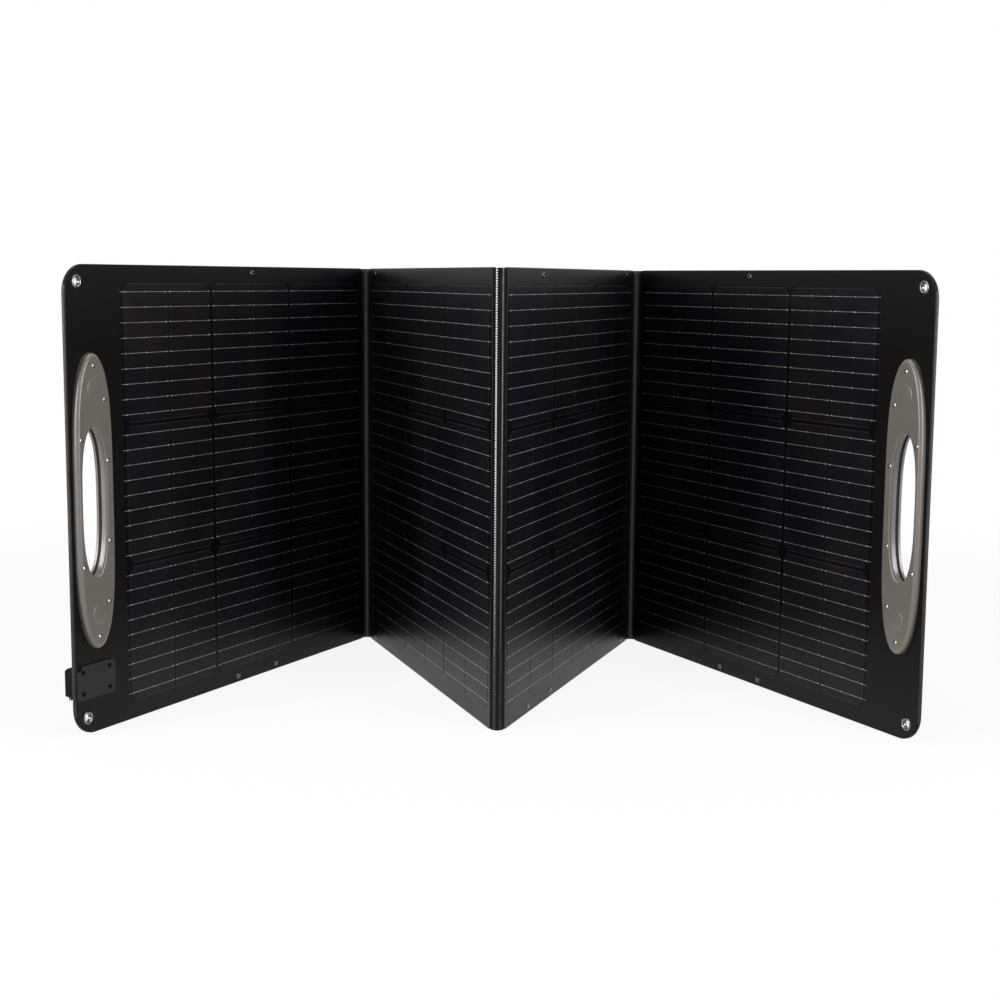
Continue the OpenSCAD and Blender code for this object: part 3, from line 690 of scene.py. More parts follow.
def front_sheet(outer):
    piece = panel_slab("front_sheet", outer, BOARD_BACK, FRONT)
    with editing(piece):
        pick(piece, "FACE", lambda place: place.y < BOARD_BACK + TINY)
        bpy.ops.mesh.inset(thickness=LIP)
        pull(BOARD_FRONT - BOARD_BACK)
        pick(piece, "EDGE", lambda place: place.y > FRONT - TINY)
        bevel(FILM_RIM, 5)
    if outer:
        cut(piece, *outer_holes())
    lay_map(piece)
    return piece


def places_of(outer):
    return [place for place in all_places if place[0].outer == outer]


for outer in (True, False):
    stand(front_sheet(outer), places_of(outer), "_film", film, "_front_sheet")

# %% [markdown]
# ## Cells
# Every cell is cut in two halves, and only the far corners are slanted. One half
# is modelled: a plane, two corners bevelled once, pulled to a thin plate with a
# fine rim. Mirror makes the other half, and two Array modifiers lay the three by
# three block. The slanted corners leave the small dark diamonds between cells.

# %% Cells
CELL_THICK, CELL_RIM = 0.25 * MM, 0.12 * MM


def cell_block():
    width = (CELL - HALF_GAP) / 2
    piece = start(
        "half_cell", bpy.ops.mesh.primitive_plane_add, size=1, scale=(width, CELL, 1),
        rotation=(-math.pi / 2, 0, 0), location=(-HALF_GAP / 2 - width / 2, FRONT + CELL_THICK, 0),
    )
    with editing(piece):
        pick(piece, "VERT", lambda place: place.x < -width)
        bevel(CELL_CORNER, 1, "VERTICES")
        bpy.ops.mesh.select_all(action="SELECT")
        pull(-CELL_THICK)
        face_outwards()
        pick(piece, "EDGE", lambda place: place.y > FRONT + CELL_THICK - TINY)
        bevel(CELL_RIM, 2)
    finish_with(piece, "MIRROR", use_axis=(True, False, False), use_mirror_merge=False)
    repeat(piece, CELLS, (CELL_PITCH, 0, 0))
    repeat(piece, CELLS, (0, 0, CELL_PITCH))
    piece.location = (CELL_START + CELL / 2, 0, BLOCK_Z + CELL / 2)
    settle(piece)
    lay_map(piece)
    return piece


stand(cell_block(), all_places, "_cell_plates", cell, "_cells")

# %% [markdown]
# ## Ribbons
# Nine tinned ribbons cross each row of cells. Over a half cell a ribbon is one
# flat strip with three low drops of solder, and it stops just short of the cut.
# One strip with its drops is made, then Mirror and Array repeat it with the cells.

# %% Ribbons
RIBBON_WIDTH, RIBBON_THICK, RIBBON_PITCH = 0.62 * MM, 0.15 * MM, 17.9 * MM
RIBBON_BASE = FRONT + CELL_THICK
RIBBONS, RIBBON_SHORT, DROP_INSET, RIBBON_SLANT = 9, 0.6 * MM, 3.5 * MM, 0.45
TAIL_LENGTH, TAIL_MIDDLE = 5 * MM, 2.4 * MM


def strip(middle_u, length, width, thick):
    """A low strip whose top edges are slanted off."""
    piece = block((length, thick, width), (middle_u, RIBBON_BASE + thick / 2, 0))
    round_edges(piece, lambda place: place.y > RIBBON_BASE + thick - TINY, thick * RIBBON_SLANT, 1)
    return piece


def solder_dome(middle_u):
    """A low rounded drop of solder, half of a squashed ball."""
    piece = start(
        "dome", bpy.ops.mesh.primitive_uv_sphere_add, segments=8, ring_count=6, radius=MM,
        scale=(1.25, 0.45, 0.8), location=(middle_u, RIBBON_BASE, 0),
    )
    with editing(piece):
        bpy.ops.mesh.bisect(
            plane_co=(0, RIBBON_BASE, 0), plane_no=(0, -1, 0), clear_outer=True, use_fill=True
        )
    return piece


def ribbon_block():
    half = (CELL - HALF_GAP) / 2
    centre = -HALF_GAP / 2 - half / 2
    parts = [strip(centre, half - RIBBON_SHORT, RIBBON_WIDTH, RIBBON_THICK)]
    for drop in (-half / 2 + DROP_INSET, 0, half / 2 - DROP_INSET):
        parts.append(solder_dome(centre + drop))
    piece = joined("ribbons", parts)
    finish_with(piece, "MIRROR", use_axis=(True, False, False), use_mirror_merge=False)
    repeat(piece, RIBBONS, (0, 0, RIBBON_PITCH))
    repeat(piece, CELLS, (0, 0, CELL_PITCH))
    repeat(piece, CELLS, (CELL_PITCH, 0, 0))
    lowest = BLOCK_Z + CELL / 2 - RIBBONS // 2 * RIBBON_PITCH
    piece.location = (CELL_START + CELL / 2, 0, lowest)
    settle(piece)
    return piece


def ribbon_ends():
    """Short tails past the first and last cells of every ribbon."""
    rows = [
        (0, BLOCK_Z + row * CELL_PITCH + CELL / 2 + (number - RIBBONS // 2) * RIBBON_PITCH)
        for row in range(CELLS) for number in range(RIBBONS)
    ]
    tails = []
    for middle in (CELL_START - TAIL_MIDDLE, CELL_START + BLOCK + TAIL_MIDDLE):
        tails.append(rows_of("tails", strip(middle, TAIL_LENGTH, RIBBON_WIDTH, RIBBON_THICK), rows))
    return tails


flat_ribbons = joined("ribbons", [ribbon_block(), *ribbon_ends()])
lay_map(flat_ribbons)
stand(flat_ribbons, all_places, "_tinned_ribbons", ribbon, "_ribbons")

# %% [markdown]
# ## Back cloth
# The back of a panel is a twill stretched over the board and welded round its
# edge. The weld is a band that stands a little higher than the cloth inside it,
# made by two insets, the second with a small push inwards.

# %% Back cloth
WELD_BAND, WELD_STEP, WELD_RISE = 4 * MM, 0.5 * MM, 0.25 * MM
BACK_RIM = 0.8 * MM


def back_cloth(outer):
    piece = panel_slab("back_cloth", outer, BACK, BOARD_BACK)
    with editing(piece):
        pick(piece, "EDGE", lambda place: place.y < BACK + TINY)
        bevel(BACK_RIM, 4)
        pick(piece, "FACE", lambda place: place.y < BACK + TINY)
        bpy.ops.mesh.inset(thickness=WELD_BAND)
        bpy.ops.mesh.inset(thickness=WELD_STEP, depth=-WELD_RISE)
    if outer:
        cut(piece, *outer_holes())
    lay_map(piece)
    return piece


for outer in (True, False):
    places = places_of(outer)
    cloths = stand(back_cloth(outer), places, "_back_cloth", back_twill, "_back_fabric")

# %% [markdown]
# ## Fold strips
# Each fold is a strip of coated cloth that runs from inside one panel into the
# next. It starts as a flat grid, and its columns are then laid along the bend.
# On the ridge two ribs are pressed into rows of small steps, level on the left
# rib and staggered on the right.

# %% Fold strips
STRIP_TAB, STRIP_INSET = 9 * MM, 0.6 * MM
STRIP_HEIGHT = PANEL_HEIGHT - 2 * STRIP_INSET
STRIP_MIDDLE, STRIP_LIFT = -3.2 * MM, 0.9 * MM
STRIP_THICK, TAB_STEPS = 1.3 * MM, 3
VALLEY_SPACING, RIDGE_SPACING = 1.2 * MM, 0.75 * MM
VALLEY_SHADE, RIDGE_SHADE = math.radians(50), math.radians(12)
STAGGER_ROWS, STAGGER_COLUMNS = 2, 2
DASH_DEPTHS = [depth * MM for depth in (0.69, 0, 0.04, 0.16)]
LEFT_RIB = (math.radians(-28), math.radians(14))
RIGHT_RIB = (math.radians(24), math.radians(9))
PathPoint = namedtuple("PathPoint", "spot out rib")


def bend_path(angle, edge, depth, spacing, ribs):
    """Points and outward directions of a bend that opens along the first axis."""
    middle = Vector((edge / math.cos(angle / 2), 0))
    radius = depth + edge * math.tan(angle / 2)
    swing = math.pi - angle

    def direction(lean):
        return Vector((-math.cos(lean), -math.sin(lean)))

    def tab(side):
        out = direction(-side * swing / 2)
        way = Vector((math.cos(angle / 2), side * math.sin(angle / 2)))
        steps = [STRIP_TAB * step / TAB_STEPS for step in range(1, TAB_STEPS + 1)]
        return [PathPoint(middle + out * radius + way * step, out, None) for step in steps]

    count = max(2, round(radius * swing / spacing))
    bend = []
    for step in range(count + 1):
        lean = swing * (step / count - 0.5)
        flat = [rib for rib in ribs if abs(lean - rib[0]) <= rib[1]]
        if flat:
            reach = radius / math.cos(lean - flat[0][0])
            bend.append(PathPoint(middle + direction(lean) * reach, direction(flat[0][0]), flat[0]))
        else:
            bend.append(PathPoint(middle + direction(lean) * radius, direction(lean), None))
    return tab(1)[::-1] + bend + tab(-1)


def groove(rib, column, row):
    if not rib:
        return 0
    odd = column // STAGGER_COLUMNS % 2
    stagger = STAGGER_ROWS * odd if rib == RIGHT_RIB else 0
    return DASH_DEPTHS[(row + stagger) % len(DASH_DEPTHS)]


def fold_strip(plan, path, lift):
    rows = round(STRIP_HEIGHT / plan.spacing)
    place = Matrix.Translation((plan.axis.x, plan.axis.y, 0)) @ Matrix.Rotation(plan.turn, 4, "Z")

    def lay(column, row):
        point = path[column]
        spot = point.spot + point.out * (lift - groove(point.rib, column, row))
        return place @ Vector((spot.x, spot.y, STRIP_INSET + row * STRIP_HEIGHT / rows))

    piece = laid_grid(plan.name + "_fold_band", len(path) - 1, rows, lay)
    with editing(piece):
        face_outwards()
    return piece


valley_angle = math.pi - OUTER_ANGLE - INNER_ANGLE
ridge_angle = math.pi - 2 * INNER_ANGLE
slant = (OUTER_ANGLE - INNER_ANGLE) / 2
RIDGE_EDGE, RIDGE_DEPTH = 5.2 * MM, 4.9 * MM
FoldPlan = namedtuple("FoldPlan", "name axis turn angle edge depth spacing ribs bodies")
fold_plans = (
    FoldPlan("left", left_valley, 1.5 * math.pi + slant, valley_angle, VALLEY_EDGE, -STRIP_MIDDLE,
             VALLEY_SPACING, (), (left_outer, left_inner)),
    FoldPlan("middle", ridge, 0.5 * math.pi, ridge_angle, RIDGE_EDGE, RIDGE_DEPTH,
             RIDGE_SPACING, (LEFT_RIB, RIGHT_RIB), (left_inner, right_inner)),
    FoldPlan("right", right_valley, 1.5 * math.pi - slant, valley_angle, VALLEY_EDGE, -STRIP_MIDDLE,
             VALLEY_SPACING, (), (right_inner, right_outer)),
)
for plan in fold_plans:
    path = bend_path(plan.angle, plan.edge, plan.depth, plan.spacing, plan.ribs)
    # the ridge shows the outside of its bend, the valleys show the inside
    outside = 1 if plan.ribs else -1
    band = fold_strip(plan, path, outside * STRIP_LIFT)
    width = sum((b.spot - a.spot).length for a, b in zip(path, path[1:]))
    shine = 0
    for rib in plan.ribs:
        span = [ridge.x - (point.spot + point.out * STRIP_LIFT).y for point in path if point.rib == rib]
        shine = (ridge_across > min(span)) * (ridge_across < max(span)) + shine
    if plan.ribs:
        ridge_cloth.feed("Coat Weight", shine)
    thicken(band, STRIP_THICK, -outside)
    alone(band)
    bpy.ops.object.shade_smooth_by_angle(angle=RIDGE_SHADE if plan.ribs else VALLEY_SHADE)
    band.data.materials.append((ridge_cloth if plan.ribs else fold_cloth).material)
    first, second = plan.bodies
    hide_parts(plan.name + "_fold_strip")
    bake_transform(band)
    print("made", band.name, len(band.data.polygons), "faces, width", round(width / MM, 1))

# %% [markdown]
# ## Handles
# A handle is an oval ring. Two loops of points are bridged to a flat ring and
# pulled up to a block. The outer top edge is bevelled wide and round, the edge
# of the grip hole less so. The low bosses over the magnets are turned parts: a
# half profile is laid on the vertices of a circle and spun about its own axis.
# Boolean modifiers weld them on and cut the screw pockets.

# %% Handles
HANDLE_U, HANDLE_WIDTH, HANDLE_LENGTH = 584.5 * MM, 60 * MM, 341 * MM
HANDLE_TOP = FRONT + 8.4 * MM
HANDLE_REAR = BACK - 4 * MM
HANDLE_POWER = 4
HOLE_MARGIN, RIM_MARGIN = 2 * MM, 0.6 * MM
POCKET_RADIUS, POCKET_DEPTH, POCKET_SIDES = 2.8 * MM, 2.2 * MM, 25
SLEEVE_INSIDE, SLEEVE_OUTSIDE = 1.6 * MM, 4.4 * MM
FRONT_HOLE_ROUND, FRONT_RIM_ROUND = 2.6 * MM, 4.6 * MM
REAR_HOLE_ROUND, REAR_RIM_ROUND = 1.2 * MM, 2.5 * MM
SCREW_OFFSETS = ((0, 156), (-17.05, 117), (22.9, 73), (-20.9, 46.5))
SCREW_SPOTS = [
    (HANDLE_U + u * MM, GRIP_Z + side * z * MM) for u, z in SCREW_OFFSETS for side in (-1, 1)
]
MAGNET_Z = 130 * MM
MAGNET_SPOTS = [(HANDLE_U, GRIP_Z + side * MAGNET_Z) for side in (-1, 1)]


def ring(name, outer_points, hole_points, base, top):
    """Two loops of points, bridged to a flat ring and pulled from base to top."""
    piece = joined(name, [oval_loop(name, outer_points, base), oval_loop("hole", hole_points, base)])
    with editing(piece, "EDGE"):
        bpy.ops.mesh.bridge_edge_loops()
        bpy.ops.mesh.select_mode(type="FACE")
        bpy.ops.mesh.select_all(action="SELECT")
        pull(top - base)
        face_outwards()
    return piece


def handle_ring(name, base, top, hole_round):
    """An oval ring from base to top; the edge of its hole is rounded off."""
    outer_points = oval_points(HANDLE_U, HANDLE_WIDTH, HANDLE_LENGTH, HANDLE_POWER)
    piece = ring(name, outer_points, grip_points(0), base, top)

    def in_hole_rim(place):
        sideways = (place.x - GRIP_U) / (GRIP_WIDTH / 2 + HOLE_MARGIN)
        up = abs(place.z - GRIP_Z) / (GRIP_LENGTH / 2 + HOLE_MARGIN)
        return sideways ** 2 + up ** GRIP_POWER < 1 and abs(place.y - top) < TINY

    round_edges(piece, in_hole_rim, hole_round, 5)
    return piece


def round_outer_rim(piece, top, size, steps):
    with editing(piece, "EDGE"):
        shape = bmesh.from_edit_mesh(piece.data)
        bpy.ops.mesh.select_all(action="DESELECT")
        for edge in shape.edges:
            flat = all(abs(v.co.y - top) < TINY for v in edge.verts)
            middle = (edge.verts[0].co + edge.verts[1].co) / 2
            sideways = (middle.x - HANDLE_U) / (HANDLE_WIDTH / 2 - RIM_MARGIN)
            up = abs(middle.z - GRIP_Z) / (HANDLE_LENGTH / 2 - RIM_MARGIN)
            edge.select_set(flat and sideways ** 2 + up ** HANDLE_POWER > 1)
        bmesh.update_edit_mesh(piece.data)
        bevel(size, steps)


def turned(name, profile, steps=36):
    """Spin a closed profile of (radius, depth) points, in millimetres."""
    piece = loop_of(name, [(radius * MM, depth * MM, 0) for radius, depth in profile])
    with editing(piece, "EDGE"):
        bpy.ops.mesh.spin(steps=steps, angle=2 * math.pi, center=(0, 0, 0), axis=(0, 1, 0))
        bpy.ops.mesh.select_all(action="SELECT")
        bpy.ops.mesh.remove_doubles(threshold=TINY)
        bpy.ops.mesh.delete_loose(use_verts=False, use_edges=True, use_faces=False)
        face_outwards()
    return piece


MARK_PROFILE = [(0, -2), (12.3, -2), (11.92, 0.1), (10.9, 0.6), (0, 0.6)]
MARK_STEPS = 60


def magnet_mark(u, z):
    """A low round boss over a magnet, with a sloped rim."""
    piece = turned("mark", MARK_PROFILE, MARK_STEPS)
    piece.location = (u, HANDLE_TOP, z)
    settle(piece)
    return piece


def handle_front():
    piece = handle_ring("handle_front", FRONT, HANDLE_TOP, FRONT_HOLE_ROUND)
    round_outer_rim(piece, HANDLE_TOP, FRONT_RIM_ROUND, 8)
    weld(piece, *[magnet_mark(u, z) for u, z in MAGNET_SPOTS])
    pocket_floor = HANDLE_TOP - POCKET_DEPTH
    for u, z in SCREW_SPOTS:
        cut(piece, bar(u, z, POCKET_RADIUS, pocket_floor, HANDLE_TOP + MM, POCKET_SIDES))
    return piece


def handle_rear():
    piece = handle_ring("handle_rear", BACK, HANDLE_REAR, REAR_HOLE_ROUND)
    round_outer_rim(piece, HANDLE_REAR, REAR_RIM_ROUND, 6)
    return piece


def grip_sleeve():
    """The wall that lines the cut in the panel, set back from both rings; its near-black finish is painted shade.
    """
    return ring("grip_sleeve", grip_points(SLEEVE_OUTSIDE), grip_points(SLEEVE_INSIDE), BACK, FRONT)


stand(handle_front(), handle_places, "_handle_shell", handle_grey, "_handle_front")
stand(handle_rear(), handle_places, "_handle_back_ring", handle_grey, "_handle_rear")
# Painted shade: the grip's lining wears the near-black box plastic, for the shade inside the grip hole.
stand(grip_sleeve(), handle_places, "_shaded_grip_lining", box_black)

# %% [markdown]
# ## Screws
# A screw head is a short cylinder with a rounded rim and a cross-shaped recess.
# The recess is two bars cut with Boolean. One head is made and copied to every
# place. The shank would be hidden in the handle, so only the head is made.

# %% Screws
SCREW_RADIUS, SCREW_HEIGHT, SCREW_RIM, SCREW_SIDES = 2.5 * MM, 1.6 * MM, 1.1 * MM, 28
CROSS_LENGTH, CROSS_WIDTH, CROSS_DEPTH = 3 * MM, 0.7 * MM, 0.8 * MM
SCREW_SUNK = 0.4 * MM


def screw_head(top):
    piece = bar(0, 0, SCREW_RADIUS, top - SCREW_HEIGHT, top, SCREW_SIDES)
    round_edges(piece, lambda place: place.y > top - TINY, SCREW_RIM, 4)
    for wide, tall in ((CROSS_LENGTH, CROSS_WIDTH), (CROSS_WIDTH, CROSS_LENGTH)):
        cut(piece, block((wide, 2 * CROSS_DEPTH, tall), (0, top, 0)))
    return piece


flat_screws = rows_of("screws", screw_head(HANDLE_TOP - SCREW_SUNK), SCREW_SPOTS)
stand(flat_screws, handle_places, "_handle_cross_screws", steel, "_handle_screws")

# %% [markdown]
# ## Eyelets and rivets
# Both are turned parts, like the handles' bosses. After a spin the seam is
# merged and the normals are recalculated, because they can point inwards. The
# wall of an eyelet's bore has its own, darker metal as painted shade for the hole.

# %% Eyelets and rivets
FRONT_MM, BACK_MM, EYELET_SHANK_MM = -1, -5.6, 5.8
eyelet_half = [
    (7.6, -1.0), (7.6, -0.8), (7.4, -0.45), (6.9, -0.2),
    (6.2, -0.1), (5.6, -0.25), (5.1, -0.7), (4.8, -1.4),
]
eyelet_rear = [(radius, FRONT_MM + BACK_MM - depth) for radius, depth in reversed(eyelet_half)]
eyelet_shank = [(EYELET_SHANK_MM, BACK_MM), (EYELET_SHANK_MM, FRONT_MM)]
eyelet_profile = eyelet_half + eyelet_rear + eyelet_shank
BORE_RADIUS, EYELET_STEPS = 5.0 * MM, 44
flat_eyelets = rows_of("eyelets", turned("eyelet", eyelet_profile, EYELET_STEPS), EYELET_SPOTS)
# Painted shade: faces inside the bore get the dark rivet metal, for the shade inside the hole.
in_bore = [
    min(math.dist((face.center.x, face.center.z), spot) for spot in EYELET_SPOTS) < BORE_RADIUS
    for face in flat_eyelets.data.polygons
]
for made in stand(flat_eyelets, handle_places, "_rolled_eyelets", nickel, "_eyelets"):
    made.data.materials.append(rivet_metal.material)
    for face, in_painted_shade in zip(made.data.polygons, in_bore):
        face.material_index = int(in_painted_shade)

rivet_dome = [(0, 0.42), (1.2, 0.46), (2.0, 0.64), (2.8, 0.7), (3.5, 0.5), (4.0, 0.2), (4.2, 0), (0, 0)]


def cap(base, way):
    return [(radius, base + way * height) for radius, height in rivet_dome]


stud_profile = [
    (0, 2.8), (1.5, 2.75), (2.2, 2.5), (2.5, 2.1), (2.3, 1.6), (2.0, 1.3),
    (2.1, 0.9), (3.6, 0.6), (4.2, 0.2), (4.2, 0), (0, 0),
]
STUD_SPAN, RIVET_Z, INNER_RIVET_U = 42 * MM, 8.5 * MM, 42 * MM
TOP_RIVET_Z = PANEL_HEIGHT - RIVET_Z
LEG_U = {"left_outer": 272 * MM, "right_outer": 272 * MM, "right_inner": 406 * MM}
WEBBING_MM = 0.9


def rivet_set(panel):
    made = []
    leg = LEG_U.get(panel.name)
    if leg:
        top, low = [(leg, TOP_RIVET_Z)], [(leg - STUD_SPAN, RIVET_Z), (leg + STUD_SPAN, RIVET_Z)]
        made.append(rows_of("caps", turned("cap", cap(FRONT_MM, 1)), top + low))
        made.append(rows_of("rear", turned("cap", cap(BACK_MM - WEBBING_MM, -1)), top))
        stud = [(radius, BACK_MM - height) for radius, height in stud_profile]
        made.append(rows_of("studs", turned("stud", stud), low))
    if not panel.outer:
        spots = [(INNER_RIVET_U, RIVET_Z), (INNER_RIVET_U, TOP_RIVET_Z)]
        made.append(rows_of("caps", turned("cap", cap(FRONT_MM, 1)), spots))
        made.append(rows_of("rear", turned("cap", cap(BACK_MM, -1)), spots))
    return joined("rivets", made)


for place in all_places:
    stand(rivet_set(place[0]), [place], "_domed_rivets", rivet_metal, "_rivets")

# %% [markdown]
# ## Junction box
# The box sits at the lower outer corner of the left panel: a flat plate in
# front, a shallow housing behind with a slanted upper edge, and a rubber cover
# under the socket. Plate and housing are rounded slabs; a bisect cuts the slant.

# %% Junction box
BOX_LOW, BOX_HIGH = (554 * MM, 42 * MM), (618 * MM, 82 * MM)
PLATE_FRONT = FRONT + 2 * MM
NOTCH_WIDE, NOTCH_TALL = 7 * MM, 5 * MM
HOLE_RADIUS, HOLE_DEPTH, HOLE_SIDES = 3.1 * MM, 0.9 * MM, 24
HOUSING_INSET, HOUSING_WALL, HOUSING_SLANT = 3 * MM, 2 * MM, 3.5 * MM
HOUSING_FRONT, HOUSING_BACK = BACK - 1 * MM, BACK - 15.5 * MM
SOCKET_N, SOCKET_RADIUS, SOCKET_CUT = HOUSING_FRONT - 7.25 * MM, 5.1 * MM, 6 * MM
COVER_AXIS_N, COVER_AXIS_Z = HOUSING_BACK + 2 * MM, 41.8 * MM
COVER_LENGTH, COVER_THICK, KNUCKLE_RADIUS = 40 * MM, 2 * MM, 2 * MM
EAR_U, EAR_WIDE, EAR_WEB = 21.9 * MM, 3 * MM, 4 * MM
SCREW_PROUD, BOX_SCREW_U, BOX_SCREW_Z = 0.7 * MM, 22.25 * MM, 12.75 * MM
box_middle = ((BOX_LOW[0] + BOX_HIGH[0]) / 2, (BOX_LOW[1] + BOX_HIGH[1]) / 2)
BOX_SCREWS = [
    (box_middle[0] + side * BOX_SCREW_U, box_middle[1] + step * BOX_SCREW_Z)
    for side in (-1, 1) for step in (-1, 1)
]


def bar_along(u, length, n, z, radius):
    """A cylinder along the panel."""
    return cylinder((u, n, z), length, radius, 28, (0, math.pi / 2, 0))


def junction_plate():
    piece = rounded_slab("plate", BOX_LOW, BOX_HIGH, FRONT, PLATE_FRONT, 5 * MM, 1 * MM, 6)
    cut(piece, block((2 * NOTCH_WIDE, THROUGH, 2 * NOTCH_TALL), (BOX_HIGH[0], 0, BOX_HIGH[1])))
    for u, z in BOX_SCREWS:
        cut(piece, bar(u, z, HOLE_RADIUS, PLATE_FRONT - HOLE_DEPTH, PLATE_FRONT + MM, HOLE_SIDES))
    soften(piece, 0.35 * MM, 3, 50)
    return piece


def junction_housing():
    low = (BOX_LOW[0] + HOUSING_INSET, BOX_LOW[1] + HOUSING_INSET)
    high = (BOX_HIGH[0] - HOUSING_INSET, BOX_HIGH[1] - HOUSING_INSET)
    piece = rounded_slab("housing", low, high, HOUSING_BACK, HOUSING_FRONT, 2 * MM, 2 * MM, 5)
    with editing(piece):
        bpy.ops.mesh.bisect(
            plane_co=(0, HOUSING_BACK, high[1] - HOUSING_SLANT), plane_no=(0, -3.5, 3),
            clear_outer=True, use_fill=True,
        )
        pick(piece, "FACE", lambda place: place.y > HOUSING_FRONT - TINY)
        bpy.ops.mesh.inset(thickness=HOUSING_WALL)
        pull(HOUSING_BACK + HOUSING_WALL - HOUSING_FRONT)
    cut(piece, cylinder((box_middle[0], SOCKET_N, low[1] + MM), SOCKET_CUT, SOCKET_RADIUS, 40))
    ears = []
    for side in (-1, 1):
        ear_u = box_middle[0] + side * EAR_U
        ear = bar_along(ear_u, EAR_WIDE, COVER_AXIS_N, COVER_AXIS_Z, KNUCKLE_RADIUS)
        weld(ear, block((EAR_WIDE, EAR_WEB, EAR_WEB), (ear_u, COVER_AXIS_N, COVER_AXIS_Z + EAR_WEB / 2)))
        ears.append(ear)
    weld(piece, *ears)
    soften(piece, 0.5 * MM, 3, 40)
    return piece


def socket_cover():
    front = HOUSING_FRONT - 1 * MM
    middle_z = COVER_AXIS_Z + KNUCKLE_RADIUS - COVER_THICK / 2
    piece = block(
        (COVER_LENGTH, front - COVER_AXIS_N, COVER_THICK),
        (box_middle[0], (front + COVER_AXIS_N) / 2, middle_z),
    )
    weld(piece, bar_along(box_middle[0], COVER_LENGTH, COVER_AXIS_N, COVER_AXIS_Z, KNUCKLE_RADIUS))
    soften(piece, 0.4 * MM, 3, 40)
    return piece


box_screws = rows_of("box_screws", screw_head(PLATE_FRONT + SCREW_PROUD), BOX_SCREWS)
box_place = [(left_outer, "")]
stand(junction_plate(), box_place, "box_front_plate", plate_black, "junction_plate")
stand(junction_housing(), box_place, "box_housing", housing_black, "junction_housing")
stand(box_screws, box_place, "box_plate_screws", dark_steel, "junction_screws")
stand(socket_cover(), box_place, "socket_flap", rubber, "socket_cover", "cover")

# %% [markdown]
# ## Legs
# Three legs fold out behind. Each is a tapered board in a twill cover with a
# sewn edge, a rubber strip at its foot, and knuckles on a steel rod that turns
# in a webbing loop. The taper is a slab whose top corners are moved inwards.

# %% Legs
ROD_N = BACK - 2.4 * MM
ROD_Z = 513.5 * MM
LOOP_RADIUS = 2 * MM
LEG_THICK, LEG_FOOT, LEG_TOP = 2.4 * MM, 116 * MM, 44 * MM
FOOT_LOW, FOOT_HIGH = 1.5 * MM, 4 * MM
LEG_SHOULDER = ROD_Z - LOOP_RADIUS - 0.6 * MM
LOOP_WIDTH, LOOP_TOP, LOOP_BEND, LOOP_THICK = 30 * MM, 538 * MM, 1.6 * MM, 0.8 * MM
HEM, HEM_STEP, HEM_RISE, HEM_SINK = 5 * MM, 0.6 * MM, 0.3 * MM, 0.2 * MM
KNUCKLE_GAP, WEB_TALL, ROD_HOLE, STUD_HOLE = 0.4 * MM, 6 * MM, 1.02 * MM, 2.9 * MM
STITCHES, FIRST_STITCH, STITCH_INSET = 98, 14 * MM, 2.6 * MM
STITCH_RADIUS, STITCH_LENGTH, STITCH_RIM = 0.35 * MM, 3.4 * MM, 0.25 * MM
STITCH_ENDS, STITCH_PROUD, FOOT_RIM = 20 * MM, 0.05 * MM, 0.7 * MM
LOOP_COLUMNS, LOOP_LIFT, LOOP_NECK, LOOP_DEGREES = 10, 0.45 * MM, 4 * MM, range(35, 360, 13)


def leg_half_width(z):
    share = (z - FOOT_HIGH) / (LEG_SHOULDER - FOOT_HIGH)
    return (LEG_FOOT + (LEG_TOP - LEG_FOOT) * share) / 2


def leg_board(u):
    front, back = ROD_N + LEG_THICK / 2, ROD_N - LEG_THICK / 2
    piece = block(
        (LEG_FOOT, LEG_THICK, LEG_SHOULDER - FOOT_HIGH), (u, ROD_N, (LEG_SHOULDER + FOOT_HIGH) / 2)
    )
    for vertex in piece.data.vertices:
        share = leg_half_width(vertex.co.z) / (LEG_FOOT / 2)
        vertex.co.x = u + (vertex.co.x - u) * share
    with editing(piece):
        pick(piece, "FACE", lambda place: place.y < back + TINY)
        bpy.ops.mesh.inset(thickness=HEM)
        bpy.ops.mesh.inset(thickness=HEM_STEP, depth=HEM_RISE)
        pick(piece, "FACE", lambda place: place.y > front - TINY)
        bpy.ops.mesh.inset(thickness=HEM)
        bpy.ops.mesh.inset(thickness=HEM_STEP, depth=-HEM_SINK)
    for side in (-1, 1):
        length = LEG_TOP / 2 - LOOP_WIDTH / 2 - KNUCKLE_GAP
        middle = u + side * (LOOP_WIDTH / 2 + KNUCKLE_GAP + length / 2)
        knuckle = bar_along(middle, length, ROD_N, ROD_Z, LOOP_RADIUS)
        web = block((length, LEG_THICK, WEB_TALL), (middle, ROD_N, ROD_Z - WEB_TALL / 2))
        weld(piece, web, knuckle)
    cut(piece, bar_along(u, LEG_TOP * 2, ROD_N, ROD_Z, ROD_HOLE))
    for side in (-1, 1):
        cut(piece, bar(u + side * STUD_SPAN, RIVET_Z, STUD_HOLE, back - MM, front + MM))
    soften(piece, 0.3 * MM, 2, 50)
    lay_map(piece)
    return piece


def leg_stitches(u):
    """A row of short sewn stitches down both long edges of the leg's rear."""
    back = ROD_N - LEG_THICK / 2
    stitch = cylinder((0, 0, 0), STITCH_LENGTH, STITCH_RADIUS, 8)
    round_edges(stitch, lambda place: abs(place.z) > STITCH_LENGTH / 2 - TINY, STITCH_RIM, 1)
    lean = math.atan2((LEG_FOOT - LEG_TOP) / 2, LEG_SHOULDER - FOOT_HIGH)
    made = []
    for step in range(STITCHES):
        z = FIRST_STITCH + step * (LEG_SHOULDER - STITCH_ENDS) / STITCHES
        for side in (-1, 1):
            stitch_u = u + side * (leg_half_width(z) - STITCH_INSET)
            place = Matrix.Translation((stitch_u, back - STITCH_PROUD, z))
            made.append(copy_to(stitch, "stitch", place @ Matrix.Rotation(-side * lean, 4, "Y")))
    bpy.data.objects.remove(stitch)
    return joined("stitches", made)


